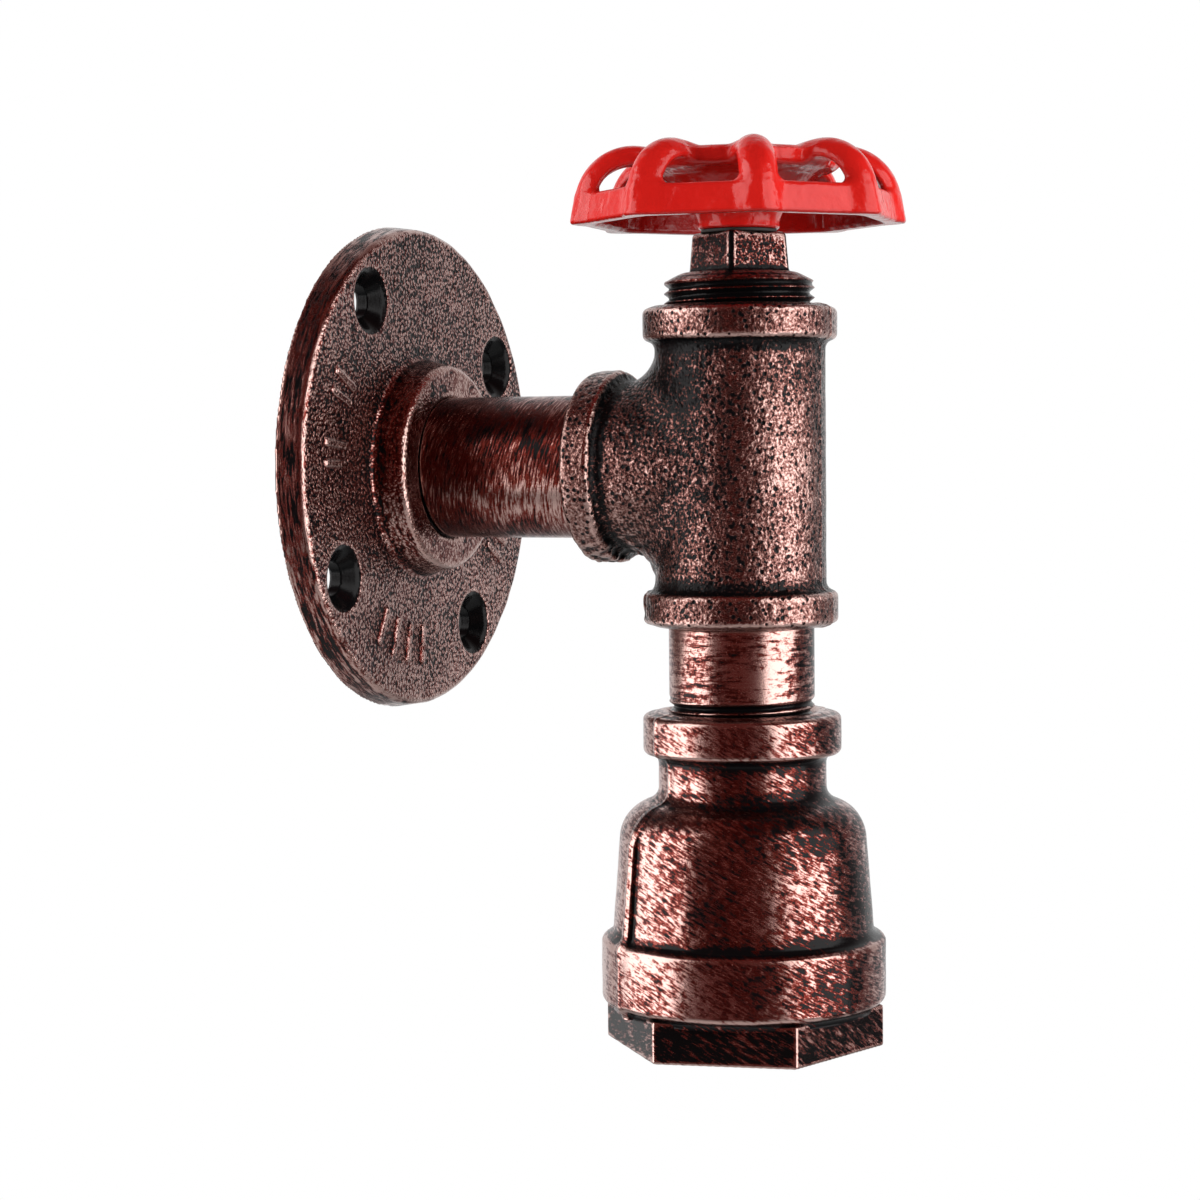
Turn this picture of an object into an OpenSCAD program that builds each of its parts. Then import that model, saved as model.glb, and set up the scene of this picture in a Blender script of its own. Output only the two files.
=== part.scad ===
// Pipe wall light. A wall flange and a pipe arm carry a tee. A handwheel switch stands on the tee,
// and a lampholder hangs under it in a reducer. Millimetres, +Z up, and the wall is the plane y = 0.

/* [Layout] */
// Distance from the wall to the lamp's upright axis
arm_reach = 71; // [66:1:100]
// Bare pipe between the tee and the reducer
drop_gap = 16.5; // [8:0.5:60]

/* [Pipe] */
// Outside diameter of the pipes
pipe_d = 26.7; // [26:0.1:27.2]
// Wall of the pipes
pipe_wall = 2.9; // [2.3:0.1:3.2]
// Step in radius from the pipe to the middle of its thread
thread_depth = 0.6; // [0.4:0.05:0.8]
// Length of thread screwed into a fitting
thread_engage = 13; // [11:0.5:14]
// Bare thread between a fitting's face and the pipe's full diameter
thread_gap = 0.6; // [0.3:0.1:1.5]

/* [Wall flange] */
// Diameter of the flange at the wall
flange_d = 92.4; // [91:0.2:110]
// Taper of the flange's edge, as a step in radius
flange_draft = 0.8; // [0.3:0.1:1.5]
// Thickness of the flange's plate
flange_plate = 5.4; // [4:0.1:7]
// Depth from the wall to the hub's face
flange_depth = 11.6; // [11:0.1:18]
// Diameter of the hub at its face
flange_hub_d = 38.6; // [36:0.2:44]
// Distance that the arm's end stops short of the wall
inlet_recess = 1.6; // [0.5:0.1:3]
// Circle of the screw holes
screw_pcd = 74; // [66:0.5:76]
// Diameter of a screw hole
screw_hole_d = 6.5; // [5:0.1:7.5]
// Diameter of a screw hole's countersink
countersink_d = 11.8; // [9:0.1:12.4]
// Turn of the screw holes about the arm
screw_turn = 32.5; // [0:0.5:90]

/* [Tee] */
// Distance from the tee's centre to each end
tee_reach = 28.75; // [27:0.25:34]
// Diameter of the bands
tee_band_d = 35.5; // [35:0.1:40]
// Width of the bands
tee_band_w = 5.9; // [4:0.1:8]
// Diameter of the run
tee_barrel_d = 31.2; // [30.4:0.1:32]
// Bore inside the tee
tee_bore_d = 24.4; // [23.5:0.1:25]

/* [Reducer] */
// Length from the small end to the mouth
reducer_len = 52.8; // [50:0.2:70]
// Diameter of the small end's band
reducer_band_d = 36.4; // [35:0.1:40]
// Width of the small end's band
reducer_band_w = 7.4; // [5:0.1:10]
// Diameter of the neck
reducer_neck_d = 30.9; // [30.2:0.1:32]
// Distance from the small end to the top of the shoulder
reducer_neck_len = 15.75; // [15.5:0.25:22]
// Radius of the shoulder
reducer_shoulder_r = 7.5; // [6:0.1:8.5]
// Diameter of the body under the shoulder
reducer_body_d = 45.4; // [45:0.1:47]
// Diameter of the body at the mouth's band
reducer_foot_d = 48.2; // [47.5:0.1:50]
// Diameter of the mouth's band
reducer_mouth_d = 52.3; // [51:0.1:56]
// Width of the mouth's band
reducer_mouth_w = 11.9; // [10:0.1:15]
// Wall of the body
reducer_wall = 3.7; // [3:0.1:4]
// Width of a wrench rib
reducer_rib_w = 2.6; // [1.5:0.1:4]
// Height of a wrench rib above the body
reducer_rib_h = 0.9; // [0.5:0.1:1.6]
// Turn of the wrench ribs about the lamp's axis
reducer_rib_turn = 142; // [0:1:180]

/* [Hex bushing] */
// Width of the hexagon across its flats
bushing_af = 44.7; // [43:0.1:47]
// Height of the hexagon
bushing_hex_h = 7.6; // [6:0.1:10]
// Diameter of the bushing's thread, at its middle
bushing_thread_d = 41; // [40:0.1:42]
// Length of the bushing's thread
bushing_thread_l = 11.6; // [9:0.1:13]
// Bore of the bushing
bushing_bore_d = 33.2; // [31.8:0.1:34.5]
// Turn of the hexagon about the lamp's axis
bushing_turn = 42.8; // [0:0.1:60]

/* [Bonnet] */
// Width of the bonnet's square head at its foot
bonnet_square = 13.6; // [13:0.1:16]
// Taper of the bonnet's head, as a step in half its width
bonnet_draft = 0.45; // [0.2:0.05:0.6]
// Height of the bonnet's head
bonnet_head_h = 7.3; // [6:0.1:10]
// Diameter over the bonnet's bare thread
bonnet_thread_d = 27.4; // [27:0.1:28.5]
// Height of the bare thread above the tee
bonnet_lift = 6.4; // [4:0.1:10]
// Wall of the bonnet's hollow
bonnet_wall = 2.3; // [2:0.1:2.8]
// Thickness of metal between the bonnet's head and its hollow
bonnet_crown = 3.5; // [3:0.1:5]
// Turn of a corner of the bonnet's head about the lamp's axis
bonnet_turn = 12.6; // [0:0.1:90]

/* [Handwheel] */
// Number of sides and ribs
wheel_sides = 8; // [6:1:10]
// Diameter across the corners
wheel_d = 61.2; // [58:0.2:70]
// Height from the hub's underside to the top of the ribs
wheel_h = 15.2; // [14.5:0.1:20]
// Height of the rim's lower edge above the hub's underside
wheel_rim_lift = 1; // [0.8:0.1:3]
// Height of the rim's flat sides
wheel_rim_h = 5.5; // [4:0.1:7]
// Thickness of the rim at its lower edge
wheel_rim_t = 3.2; // [2.6:0.1:3.6]
// Inward lean of the rim's sides and of the ribs' legs, in degrees
wheel_lean = 10; // [0:0.5:12]
// Outer radius of a rib's arch
rib_r = 10.8; // [10:0.1:12]
// Thickness of a rib
rib_t = 3.6; // [3:0.1:4.5]
// Width of a rib
rib_w = 6.6; // [5:0.1:7.5]
// Diameter of the middle disc
wheel_disc_d = 36; // [33:0.2:40]
// Thickness of the middle disc
wheel_disc_t = 3.6; // [3:0.1:4.2]
// Depth of the disc's top under the ribs' tops
wheel_disc_drop = 1.4; // [1:0.1:3]
// Diameter of the hub
wheel_hub_d = 14.8; // [13:0.1:17]
// Gap between the bonnet and the hub
wheel_gap = 0.5; // [0.4:0.1:1]
// Turn of the handwheel about the lamp's axis when the switch is off
wheel_turn = 29.4; // [0:0.1:45]

/* [Switch] */
// Diameter of the spindle
spindle_d = 6; // [5.5:0.1:6.4]
// Distance of the spindle's flat from its axis
spindle_flat = 2.1; // [1.8:0.1:2.4]
// Diameter of the bush's thread
bush_d = 9.8; // [9.4:0.1:10.4]
// Thickness of the lock nut
switch_nut_t = 2.4; // [2:0.1:3]
// Thickness of the toothed washer
switch_washer_t = 0.5; // [0.4:0.1:0.8]
// Height of the housing
housing_h = 14; // [13:0.1:16]
// Wall of the housing
housing_wall = 1.4; // [1.1:0.1:1.6]
// Height of the rotor
rotor_h = 5; // [4:0.1:6]
// Thickness of the moving contact
moving_contact_t = 1.2; // [0.8:0.1:1.5]
// Thickness of a fixed contact
blade_t = 0.6; // [0.4:0.1:0.8]
// Width of a fixed contact
blade_w = 4; // [3:0.1:5]
// Length of a solder tag below the switch
tag_l = 4; // [3:0.1:5]
// Diameter of the handwheel's screw
wheel_screw_d = 4; // [3:0.1:4]
// Length of the handwheel's screw under its head
wheel_screw_l = 8; // [6:0.5:9]
// Thickness of the washer under that screw
wheel_washer_t = 0.8; // [0.5:0.1:1]

/* [Lampholder] */
// Inside diameter of the screw shell
shell_d = 26.7; // [26.5:0.05:27]
// Thickness of the screw shell's metal
shell_t = 0.5; // [0.3:0.05:0.6]
// Depth from the holder's mouth to its floor
shell_depth = 26; // [24:0.5:27]
// Length of the screw shell's threaded wall
shell_thread_l = 17; // [15:0.5:17.5]
// Depth of the holder's mouth inside the bushing
mouth_recess = 2; // [1:0.1:4]
// Thickness of the holder's clamping flange
holder_flange_t = 3; // [2.5:0.1:4]
// Width of the ledge that the flange is clamped on
holder_ledge = 1.6; // [1.2:0.1:2]
// Room between the terminals and the reducer's roof
holder_headroom = 2; // [1.5:0.1:3]
// Side of a terminal block
terminal_size = 6; // [5:0.1:6.5]
// Height of a terminal block
terminal_h = 4.5; // [4:0.1:5]
// Diameter of a contact rivet
rivet_d = 3; // [2.5:0.1:3.2]

/* [Leads] */
// Diameter of an insulated lead
lead_d = 2.2; // [1.8:0.1:2.4]
// Length of a stripped lead end
tinned_l = 8; // [5:0.5:9]

/* [Fits] */
// Radial clearance of a screwed joint
thread_clear = 0.05; // [0.03:0.01:0.08]
// Radial clearance of the turning spindle
running_clear = 0.05; // [0.03:0.01:0.08]
// Clearance of a piece that is only laid or pushed in
seat_clear = 0.1; // [0.05:0.01:0.15]

/* [Hidden] */
$fn = 96;

// Colours
rubbed_copper = [0.33, 0.2, 0.16];
red_enamel = [0.8, 0.06, 0.07];
zinc_plate = [0.75, 0.75, 0.76];
brass_metal = [0.78, 0.62, 0.3];
black_moulding = [0.06, 0.06, 0.06];
glazed_white = [0.92, 0.91, 0.87];
tinned_copper = [0.8, 0.74, 0.66];

// A cut runs this far past the face that it opens
past = 1;

// Threads, each as one cylinder at the middle of its depth
thread_r = pipe_d / 2 - thread_depth;
tapped_r = thread_r + thread_clear;
mouth_chamfer = pipe_d / 2 + 0.4 - tapped_r;
pipe_bore_r = pipe_d / 2 - pipe_wall;

// Flange
flange_round = 1.2;
hub_round = 1;
hub_fillet = 1;
hub_draft = 1.4;
screw_count = 4;

// Fittings
edge_round = 1;
branch_step = 0.2;
tap_runout = 1;
cast_lip = 1.3;

// Heights from the arm's axis
reducer_top = -tee_reach - drop_gap;
reducer_bottom = reducer_top - reducer_len;
shoulder_z = reducer_top - reducer_neck_len - reducer_shoulder_r;
foot_z = reducer_bottom + reducer_mouth_w;
roof_z = shoulder_z + reducer_shoulder_r - reducer_wall;
hex_top = reducer_bottom - thread_gap;
hex_bottom = hex_top - bushing_hex_h;
bushing_top = hex_top + bushing_thread_l;
ledge_z = bushing_top + holder_flange_t + 2 * seat_clear;

// Reducer's inside
chamber_r = bushing_thread_d / 2 - holder_ledge;
bushing_chamfer = 1.2;
bushing_bevel = 0.6;

// Bonnet and what stands on it
bonnet_end = tee_reach - thread_engage;
head_base = tee_reach + bonnet_lift;
bonnet_top = head_base + bonnet_head_h;
hollow_r = thread_r - bonnet_wall;
hollow_top = head_base - bonnet_crown;
hub_z = bonnet_top + wheel_gap;
thrust_washer_t = wheel_gap - seat_clear;
thread_shoulder = 1.6;
bonnet_bevel = 0.8;
bonnet_corner = 0.45;

// Handwheel
wheel_r = wheel_d / 2;
rib_top = hub_z + wheel_h;
rib_centre_z = rib_top - rib_r;
rib_sweep = 130;
rib_crown = 2.4;
rib_inner_round = 0.8;
rim_z = hub_z + wheel_rim_lift;
rim_corner_inset = 0.5;
rib_leg = (rib_centre_z - rim_z + (rib_r - rib_t) * sin(wheel_lean)) / cos(wheel_lean);
rib_centre_r = wheel_r - rib_r * cos(wheel_lean) - rib_leg * sin(wheel_lean);
disc_top = rib_top - wheel_disc_drop;
disc_round = 1;
hub_collar_h = 2.6;
hub_cone_inset = 2;
screw_head_d = 7.8;
screw_head_h = 2.6;
wheel_washer_d = 10.8;
recess_d = 12.4;
recess_z = disc_top - screw_head_h - wheel_washer_t;

// Switch, hung from the bonnet's roof downwards
bush_flange_d = 13;
bush_flange_t = 0.8;
housing_roof = 2;
switch_side_clear = 1;
housing_r = hollow_r - switch_side_clear;
housing_in_r = housing_r - housing_wall;
switch_nut_af = 14;
nut_top = hollow_top - switch_washer_t;
housing_top = nut_top - switch_nut_t - seat_clear;
housing_z = housing_top - housing_h;
base_t = 2;
base_plug_h = 1.5;
base_z = housing_z - base_t;
bush_flange_z = housing_top - housing_roof - bush_flange_t;
rotor_top = bush_flange_z - seat_clear;
rotor_z = rotor_top - rotor_h;
rotor_r = 5;
moving_contact_w = 4;
contact_gap = 0.15;
blade_side_clear = 0.5;
blade_x = sqrt(pow(housing_in_r - blade_side_clear, 2) - pow(blade_w / 2, 2)) - blade_t;
blade_top = rotor_z + 1.5;
moving_contact_l = 2 * (blade_x - contact_gap);
spindle_top = recess_z - 0.6;
spindle_z = rotor_z - moving_contact_t - 0.5;
spindle_round_top = bonnet_top + seat_clear;

// Lampholder, set up from its mouth
holder_r = bushing_bore_d / 2 - 4 * seat_clear;
holder_mouth_z = hex_bottom + mouth_recess;
floor_z = holder_mouth_z + shell_depth;
ceramic_top = roof_z - holder_headroom - terminal_h;
shell_out_r = shell_d / 2 + shell_t;
shell_setback = 2.5;
shell_neck_r = shell_d / 2 - 1.3;
shell_lip_w = 5.5;
holder_edge = 1;
rivet_x = [-9.7, 5];
terminal_x = [-9.5, 6.5];
rivet_head_h = 0.8;
rivet_head_d = rivet_d + 1.2;
wire_hole_l = 3.4;
terminal_screw_d = 2.8;
terminal_screw_head_d = 4.2;
contact_t = 0.5;
contact_w = 5;

// Lead routes, from the wall or the switch to the terminals
lead_end = inlet_recess + tinned_l + 5.4;
tag_x = blade_x + blade_t / 2;
tag_end = base_z - tag_l - seat_clear;
wire_end = ceramic_top + terminal_h - wire_hole_l + 0.8;
function wire_drop(x) = [for (z = [roof_z, roof_z - 1, wire_end]) [x, -arm_reach, z]];
live_route = [[-4, -lead_end, -2], [-4, 22 - arm_reach, -2], [-5, 12 - arm_reach, -1],
    [-tag_x, 1 - arm_reach, 4], [-tag_x, -arm_reach, tag_end]];
switched_route = concat([[tag_x, -arm_reach, tag_end], [tag_x, -arm_reach, 0], [6, -arm_reach, -20],
    [6, -arm_reach, reducer_top]], wire_drop(terminal_x[1]));
neutral_route = concat([[4, -lead_end, -2], [4, 24 - arm_reach, -2], [3, 13 - arm_reach, -4],
    [-3, 3 - arm_reach, -13], [-6, -arm_reach, -26], [-7, -arm_reach, reducer_top],
    [-8, -arm_reach, roof_z + 6]], wire_drop(terminal_x[0]));
lead_steps = 4;
tinned_d = lead_d * 0.6;

// Points along an arc about c, from angle a0 to angle a1
function arc(c, r, a0, a1, n = 5) =
    [for (i = [0 : n]) let (a = a0 + (a1 - a0) * i / n) c + r * [cos(a), sin(a)]];

// Outline of a fitting's end, from its barrel to its band's end face
function band_outline(barrel_r, band_r, end, w) =
    let (f = min(edge_round, (band_r - barrel_r) / 2.2))
    concat(arc([barrel_r + f, end - w - f], f, 180, 90), arc([band_r - f, end - w + f], f, 270, 360),
        arc([band_r - f, end - f], f, 0, 90));

// Outline of a strip of even thickness along a line of points
function unit(v) = v / norm(v);
function strip_normal(p, i) =
    let (d = unit(p[min(i + 1, len(p) - 1)] - p[max(i - 1, 0)])) [-d[1], d[0]];
function strip_outline(p, t) = concat([for (i = [0 : len(p) - 1]) p[i] + strip_normal(p, i) * t / 2],
    [for (i = [len(p) - 1 : -1 : 0]) p[i] - strip_normal(p, i) * t / 2]);

// Smooth path through a route's points
function spline(a, b, c, d, t) = 0.5 * (2 * b + (c - a) * t + (2 * a - 5 * b + 4 * c - d) * t * t
    + (3 * b - a - 3 * c + d) * t * t * t);
function smooth_path(p) = concat([for (i = [0 : len(p) - 2], k = [0 : lead_steps - 1])
    spline(p[max(i - 1, 0)], p[i], p[i + 1], p[min(i + 2, len(p) - 1)], k / lead_steps)], [p[len(p) - 1]]);

module at_lamp_axis() {
    translate([0, -arm_reach, 0]) children();
}

// Turns +Z to point from the wall into the room
module along_arm() {
    rotate([90, 0, 0]) children();
}

module ring(r_in, r_out, h) {
    difference() {
        cylinder(r = r_out, h = h);
        translate([0, 0, -past]) cylinder(r = r_in, h = h + 2 * past);
    }
}

module hexagon(af, h) {
    cylinder(d = af / cos(30), h = h, $fn = 6);
}

// Hexagon whose corners are turned off by a bevel at the top
module turned_hexagon(af, h, bevel) {
    top_r = af / 2 / cos(30) - bevel;
    intersection() {
        hexagon(af, h);
        cylinder(r1 = top_r + h, r2 = top_r, h = h);
    }
}

// Square head with a corner towards +X, whose sides lean inwards and whose corners are turned off
module square_head(side, h, draft, corner, bevel) {
    foot_r = side / sqrt(2) - corner;
    top_r = foot_r - draft * sqrt(2);
    intersection() {
        difference() {
            cylinder(r = side, h = h);
            for (turn = [45 : 90 : 315]) rotate([0, 0, turn]) translate([side / 2, -side, 0])
                rotate([0, -atan(draft / h), 0]) translate([0, 0, -h]) cube([side, 2 * side, 3 * h]);
        }
        cylinder(r1 = foot_r, r2 = top_r, h = h);
        cylinder(r1 = top_r - bevel + h, r2 = top_r - bevel, h = h);
    }
}

// Tapped hole down from a fitting's end face at z = 0, with its chamfered mouth
module tapped_hole(depth) {
    translate([0, 0, -depth]) cylinder(r = tapped_r, h = depth + past);
    translate([0, 0, -mouth_chamfer])
        cylinder(r1 = tapped_r, r2 = tapped_r + mouth_chamfer + past, h = mouth_chamfer + past);
}

// Pipe along +Z with both ends threaded: bare is the length between the two fittings' faces
module nipple(bare, engage_low, engage_high) {
    rotate_extrude() polygon([[pipe_bore_r, -engage_low], [thread_r, -engage_low], [thread_r, thread_gap],
        [pipe_d / 2, thread_gap + thread_depth], [pipe_d / 2, bare - thread_gap - thread_depth],
        [thread_r, bare - thread_gap], [thread_r, bare + engage_high], [pipe_bore_r, bare + engage_high]]);
}

module wall_flange() {
    hub_r = flange_hub_d / 2;
    hub_foot_r = hub_r + hub_draft;
    front_r = flange_d / 2 - flange_draft;
    sink = (countersink_d - screw_hole_d) / 2;
    color(rubbed_copper) along_arm() difference() {
        rotate_extrude() polygon(concat([[0, 0], [flange_d / 2, 0]],
            arc([front_r - flange_round, flange_plate - flange_round], flange_round, 0, 90),
            arc([hub_foot_r + hub_fillet, flange_plate + hub_fillet], hub_fillet, 270, 180),
            arc([hub_r - hub_round, flange_depth - hub_round], hub_round, 0, 90), [[0, flange_depth]]));
        translate([0, 0, flange_depth]) tapped_hole(flange_depth + past);
        for (i = [0 : screw_count - 1]) rotate([0, 0, screw_turn + i * 360 / screw_count])
            translate([screw_pcd / 2, 0, 0]) {
                translate([0, 0, -past]) cylinder(d = screw_hole_d, h = flange_plate + 2 * past);
                translate([0, 0, flange_plate - sink])
                    cylinder(d1 = screw_hole_d, d2 = countersink_d + 2 * past, h = sink + past);
            }
    }
}

module arm_nipple() {
    color(rubbed_copper) along_arm() translate([0, 0, flange_depth])
        nipple(arm_reach - tee_reach - flange_depth, flange_depth - inlet_recess, thread_engage);
}

module tee_arm(barrel_r) {
    rotate_extrude() polygon(concat([[0, 0], [barrel_r, 0]],
        band_outline(barrel_r, tee_band_d / 2, tee_reach, tee_band_w), [[0, tee_reach]]));
}

module tee_arm_hole(bore_r) {
    cylinder(r = bore_r, h = tee_reach);
    translate([0, 0, tee_reach]) tapped_hole(thread_engage + tap_runout);
}

module tee() {
    barrel_r = tee_barrel_d / 2;
    bore_r = tee_bore_d / 2;
    color(rubbed_copper) at_lamp_axis() difference() {
        union() {
            tee_arm(barrel_r);
            rotate([180, 0, 0]) tee_arm(barrel_r);
            rotate([-90, 0, 0]) tee_arm(barrel_r - branch_step);
        }
        tee_arm_hole(bore_r);
        rotate([180, 0, 0]) tee_arm_hole(bore_r);
        rotate([-90, 0, 0]) tee_arm_hole(bore_r - branch_step);
    }
}

module drop_nipple() {
    color(rubbed_copper) at_lamp_axis() translate([0, 0, reducer_top])
        nipple(drop_gap, thread_engage, thread_engage);
}

// Wrench rib that follows the reducer's body and stands a little above its mouth band
module reducer_rib() {
    root_r = bushing_thread_d / 2 + 1;
    rise = reducer_shoulder_r / 3;
    pad_top = foot_z - edge_round / 2;
    rotate([90, 0, 0]) translate([0, 0, -reducer_rib_w / 2]) linear_extrude(reducer_rib_w)
        polygon([[root_r, shoulder_z + rise], [reducer_body_d / 2 - reducer_rib_h, shoulder_z + rise],
            [reducer_body_d / 2 + reducer_rib_h, shoulder_z - reducer_rib_h],
            [reducer_foot_d / 2 + reducer_rib_h, pad_top], [reducer_mouth_d / 2 + reducer_rib_h / 3, pad_top],
            [reducer_mouth_d / 2 + reducer_rib_h / 3, reducer_bottom + edge_round],
            [root_r, reducer_bottom + edge_round]]);
}

module reducer() {
    neck_r = reducer_neck_d / 2;
    band_r = reducer_band_d / 2;
    mouth_r = reducer_mouth_d / 2;
    body_r = reducer_body_d / 2;
    bushing_hole_r = bushing_thread_d / 2 + thread_clear;
    lip_r = tapped_r - cast_lip;
    dome_r = reducer_shoulder_r - reducer_wall;
    shoulder_sweep = 85;
    color(rubbed_copper) at_lamp_axis() difference() {
        union() {
            rotate_extrude() polygon(concat([[0, reducer_bottom]],
                arc([mouth_r - edge_round, reducer_bottom + edge_round], edge_round, 270, 360),
                arc([mouth_r - edge_round, foot_z - edge_round], edge_round, 0, 90),
                [[reducer_foot_d / 2, foot_z + edge_round / 2]],
                arc([body_r - reducer_shoulder_r, shoulder_z], reducer_shoulder_r, 0, shoulder_sweep, 8),
                [[neck_r, shoulder_z + reducer_shoulder_r + edge_round]],
                band_outline(neck_r, band_r, reducer_top, reducer_band_w), [[0, reducer_top]]));
            for (side = [0, 180]) rotate([0, 0, reducer_rib_turn + side]) reducer_rib();
        }
        translate([0, 0, reducer_top]) tapped_hole(thread_engage + tap_runout);
        rotate_extrude() polygon(concat([[0, reducer_bottom - past],
            [bushing_hole_r + bushing_chamfer + past, reducer_bottom - past],
            [bushing_hole_r, reducer_bottom + bushing_chamfer], [bushing_hole_r, ledge_z],
            [chamber_r, ledge_z]],
            arc([chamber_r - dome_r, roof_z - dome_r], dome_r, 0, 90),
            [[lip_r, roof_z], [lip_r, reducer_top - thread_engage], [0, reducer_top - thread_engage]]));
    }
}

module hex_bushing() {
    color(rubbed_copper) at_lamp_axis() difference() {
        union() {
            rotate([0, 0, bushing_turn]) translate([0, 0, hex_top]) mirror([0, 0, 1])
                turned_hexagon(bushing_af, bushing_hex_h, bushing_bevel);
            translate([0, 0, hex_top - past]) cylinder(d = bushing_thread_d, h = bushing_thread_l + past);
        }
        translate([0, 0, hex_bottom - past])
            cylinder(d = bushing_bore_d, h = bushing_hex_h + bushing_thread_l + 2 * past);
        translate([0, 0, hex_bottom - past]) cylinder(r1 = bushing_bore_d / 2 + bushing_chamfer + past,
            r2 = bushing_bore_d / 2, h = bushing_chamfer + past);
    }
}

module bonnet() {
    crest_r = bonnet_thread_d / 2;
    color(rubbed_copper) at_lamp_axis() difference() {
        union() {
            rotate([0, 0, bonnet_turn]) translate([0, 0, head_base - past])
                square_head(bonnet_square, bonnet_head_h + past, bonnet_draft, bonnet_corner, bonnet_bevel);
            rotate_extrude() polygon([[0, bonnet_end], [thread_r, bonnet_end],
                [thread_r, tee_reach + seat_clear], [crest_r, tee_reach + thread_gap],
                [crest_r, head_base - thread_shoulder],
                [crest_r - 2 * thread_shoulder, head_base], [0, head_base]]);
        }
        translate([0, 0, bonnet_end - past]) cylinder(r = hollow_r, h = hollow_top - bonnet_end + past);
        translate([0, 0, bonnet_end])
            cylinder(r = bush_d / 2 + thread_clear, h = bonnet_top - bonnet_end + past);
    }
}

module thrust_washer() {
    color(black_moulding) at_lamp_axis() translate([0, 0, bonnet_top])
        ring(spindle_d / 2 + seat_clear, wheel_hub_d / 2 - edge_round / 2, thrust_washer_t);
}

// Round shaft with one flat, as an outline
module d_outline(clear) {
    difference() {
        circle(r = spindle_d / 2 + clear);
        translate([spindle_flat + clear, -spindle_d]) square([spindle_d, 2 * spindle_d]);
    }
}

// Rib's section: crowned on its outer side, and nearly flat towards the arch's centre
module rib_section() {
    half = rib_w / 2;
    polygon(concat([for (a = [-90 : 22.5 : 90]) [rib_r - rib_crown * (1 - cos(a)), half * sin(a)]],
        arc([rib_r - rib_t + rib_inner_round, half - rib_inner_round], rib_inner_round, 90, 180, 1),
        arc([rib_r - rib_t + rib_inner_round, rib_inner_round - half], rib_inner_round, 180, 270, 1)));
}

// Rib: a leaning leg at the rim and an arch over the window, down into the disc
module wheel_rib() {
    translate([rib_centre_r, 0, rib_centre_z]) rotate([0, -wheel_lean, 0]) {
        translate([0, 0, -rib_leg]) linear_extrude(rib_leg) rib_section();
        rotate([90, 0, 0]) rotate_extrude(angle = rib_sweep - wheel_lean) rib_section();
    }
}

// Rim: an octagonal ring whose sides lean inwards
module wheel_rim() {
    corner_r = wheel_r - rim_corner_inset;
    flat_r = corner_r * cos(180 / wheel_sides);
    translate([0, 0, rim_z]) difference() {
        linear_extrude(wheel_rim_h) difference() {
            circle(r = wheel_r, $fn = wheel_sides);
            circle(r = (flat_r - wheel_rim_t) / cos(180 / wheel_sides), $fn = wheel_sides);
        }
        for (i = [0 : wheel_sides - 1]) rotate([0, 0, (i + 0.5) * 360 / wheel_sides])
            translate([flat_r, -wheel_r, 0]) rotate([0, -wheel_lean, 0])
                translate([0, 0, -wheel_rim_h]) cube([wheel_r, wheel_d, 3 * wheel_rim_h]);
    }
}

// Hub that widens from a short collar into the disc
module wheel_centre() {
    hub_r = wheel_hub_d / 2;
    disc_r = wheel_disc_d / 2;
    disc_z = disc_top - wheel_disc_t;
    rotate_extrude() polygon(concat([[0, hub_z], [hub_r, hub_z], [hub_r, hub_z + hub_collar_h],
        [disc_r - disc_round - hub_cone_inset, disc_z]],
        arc([disc_r - disc_round, disc_z + disc_round], disc_round, 270, 360),
        arc([disc_r - disc_round, disc_top - disc_round], disc_round, 0, 90),
        [[recess_d / 2, disc_top], [recess_d / 2, recess_z], [0, recess_z]]));
}

module handwheel() {
    color(red_enamel) at_lamp_axis() rotate([0, 0, wheel_turn]) difference() {
        union() {
            wheel_centre();
            wheel_rim();
            for (i = [0 : wheel_sides - 1]) rotate([0, 0, i * 360 / wheel_sides]) wheel_rib();
        }
        translate([0, 0, hub_z - past]) linear_extrude(recess_z - hub_z + 2 * past) d_outline(seat_clear / 2);
    }
}

module wheel_screw() {
    slot_w = 0.9;
    slot_l = 4.4;
    slot_depth = 1.4;
    head_r = screw_head_d / 2;
    head_z = recess_z + wheel_washer_t + seat_clear;
    color(zinc_plate) at_lamp_axis() difference() {
        translate([0, 0, head_z]) union() {
            rotate_extrude() polygon(concat([[0, 0], [head_r, 0]],
                arc([head_r - edge_round, screw_head_h - edge_round], edge_round, 0, 90),
                [[0, screw_head_h]]));
            translate([0, 0, -wheel_screw_l]) cylinder(d = wheel_screw_d, h = wheel_screw_l + past);
        }
        for (turn = [0, 90]) rotate([0, 0, turn])
            translate([-slot_l / 2, -slot_w / 2, head_z + screw_head_h - slot_depth])
                cube([slot_l, slot_w, slot_depth + past]);
    }
}

module wheel_washer() {
    color(zinc_plate) at_lamp_axis() translate([0, 0, recess_z])
        ring(wheel_screw_d / 2 + seat_clear, wheel_washer_d / 2, wheel_washer_t);
}

module switch_spindle() {
    color(zinc_plate) at_lamp_axis() rotate([0, 0, wheel_turn]) difference() {
        union() {
            translate([0, 0, spindle_z]) linear_extrude(spindle_top - spindle_z) d_outline(0);
            translate([0, 0, rotor_top]) cylinder(d = spindle_d, h = spindle_round_top - rotor_top);
        }
        translate([0, 0, spindle_top - wheel_screw_l])
            cylinder(d = wheel_screw_d + 2 * thread_clear, h = wheel_screw_l + past);
    }
}

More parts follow.
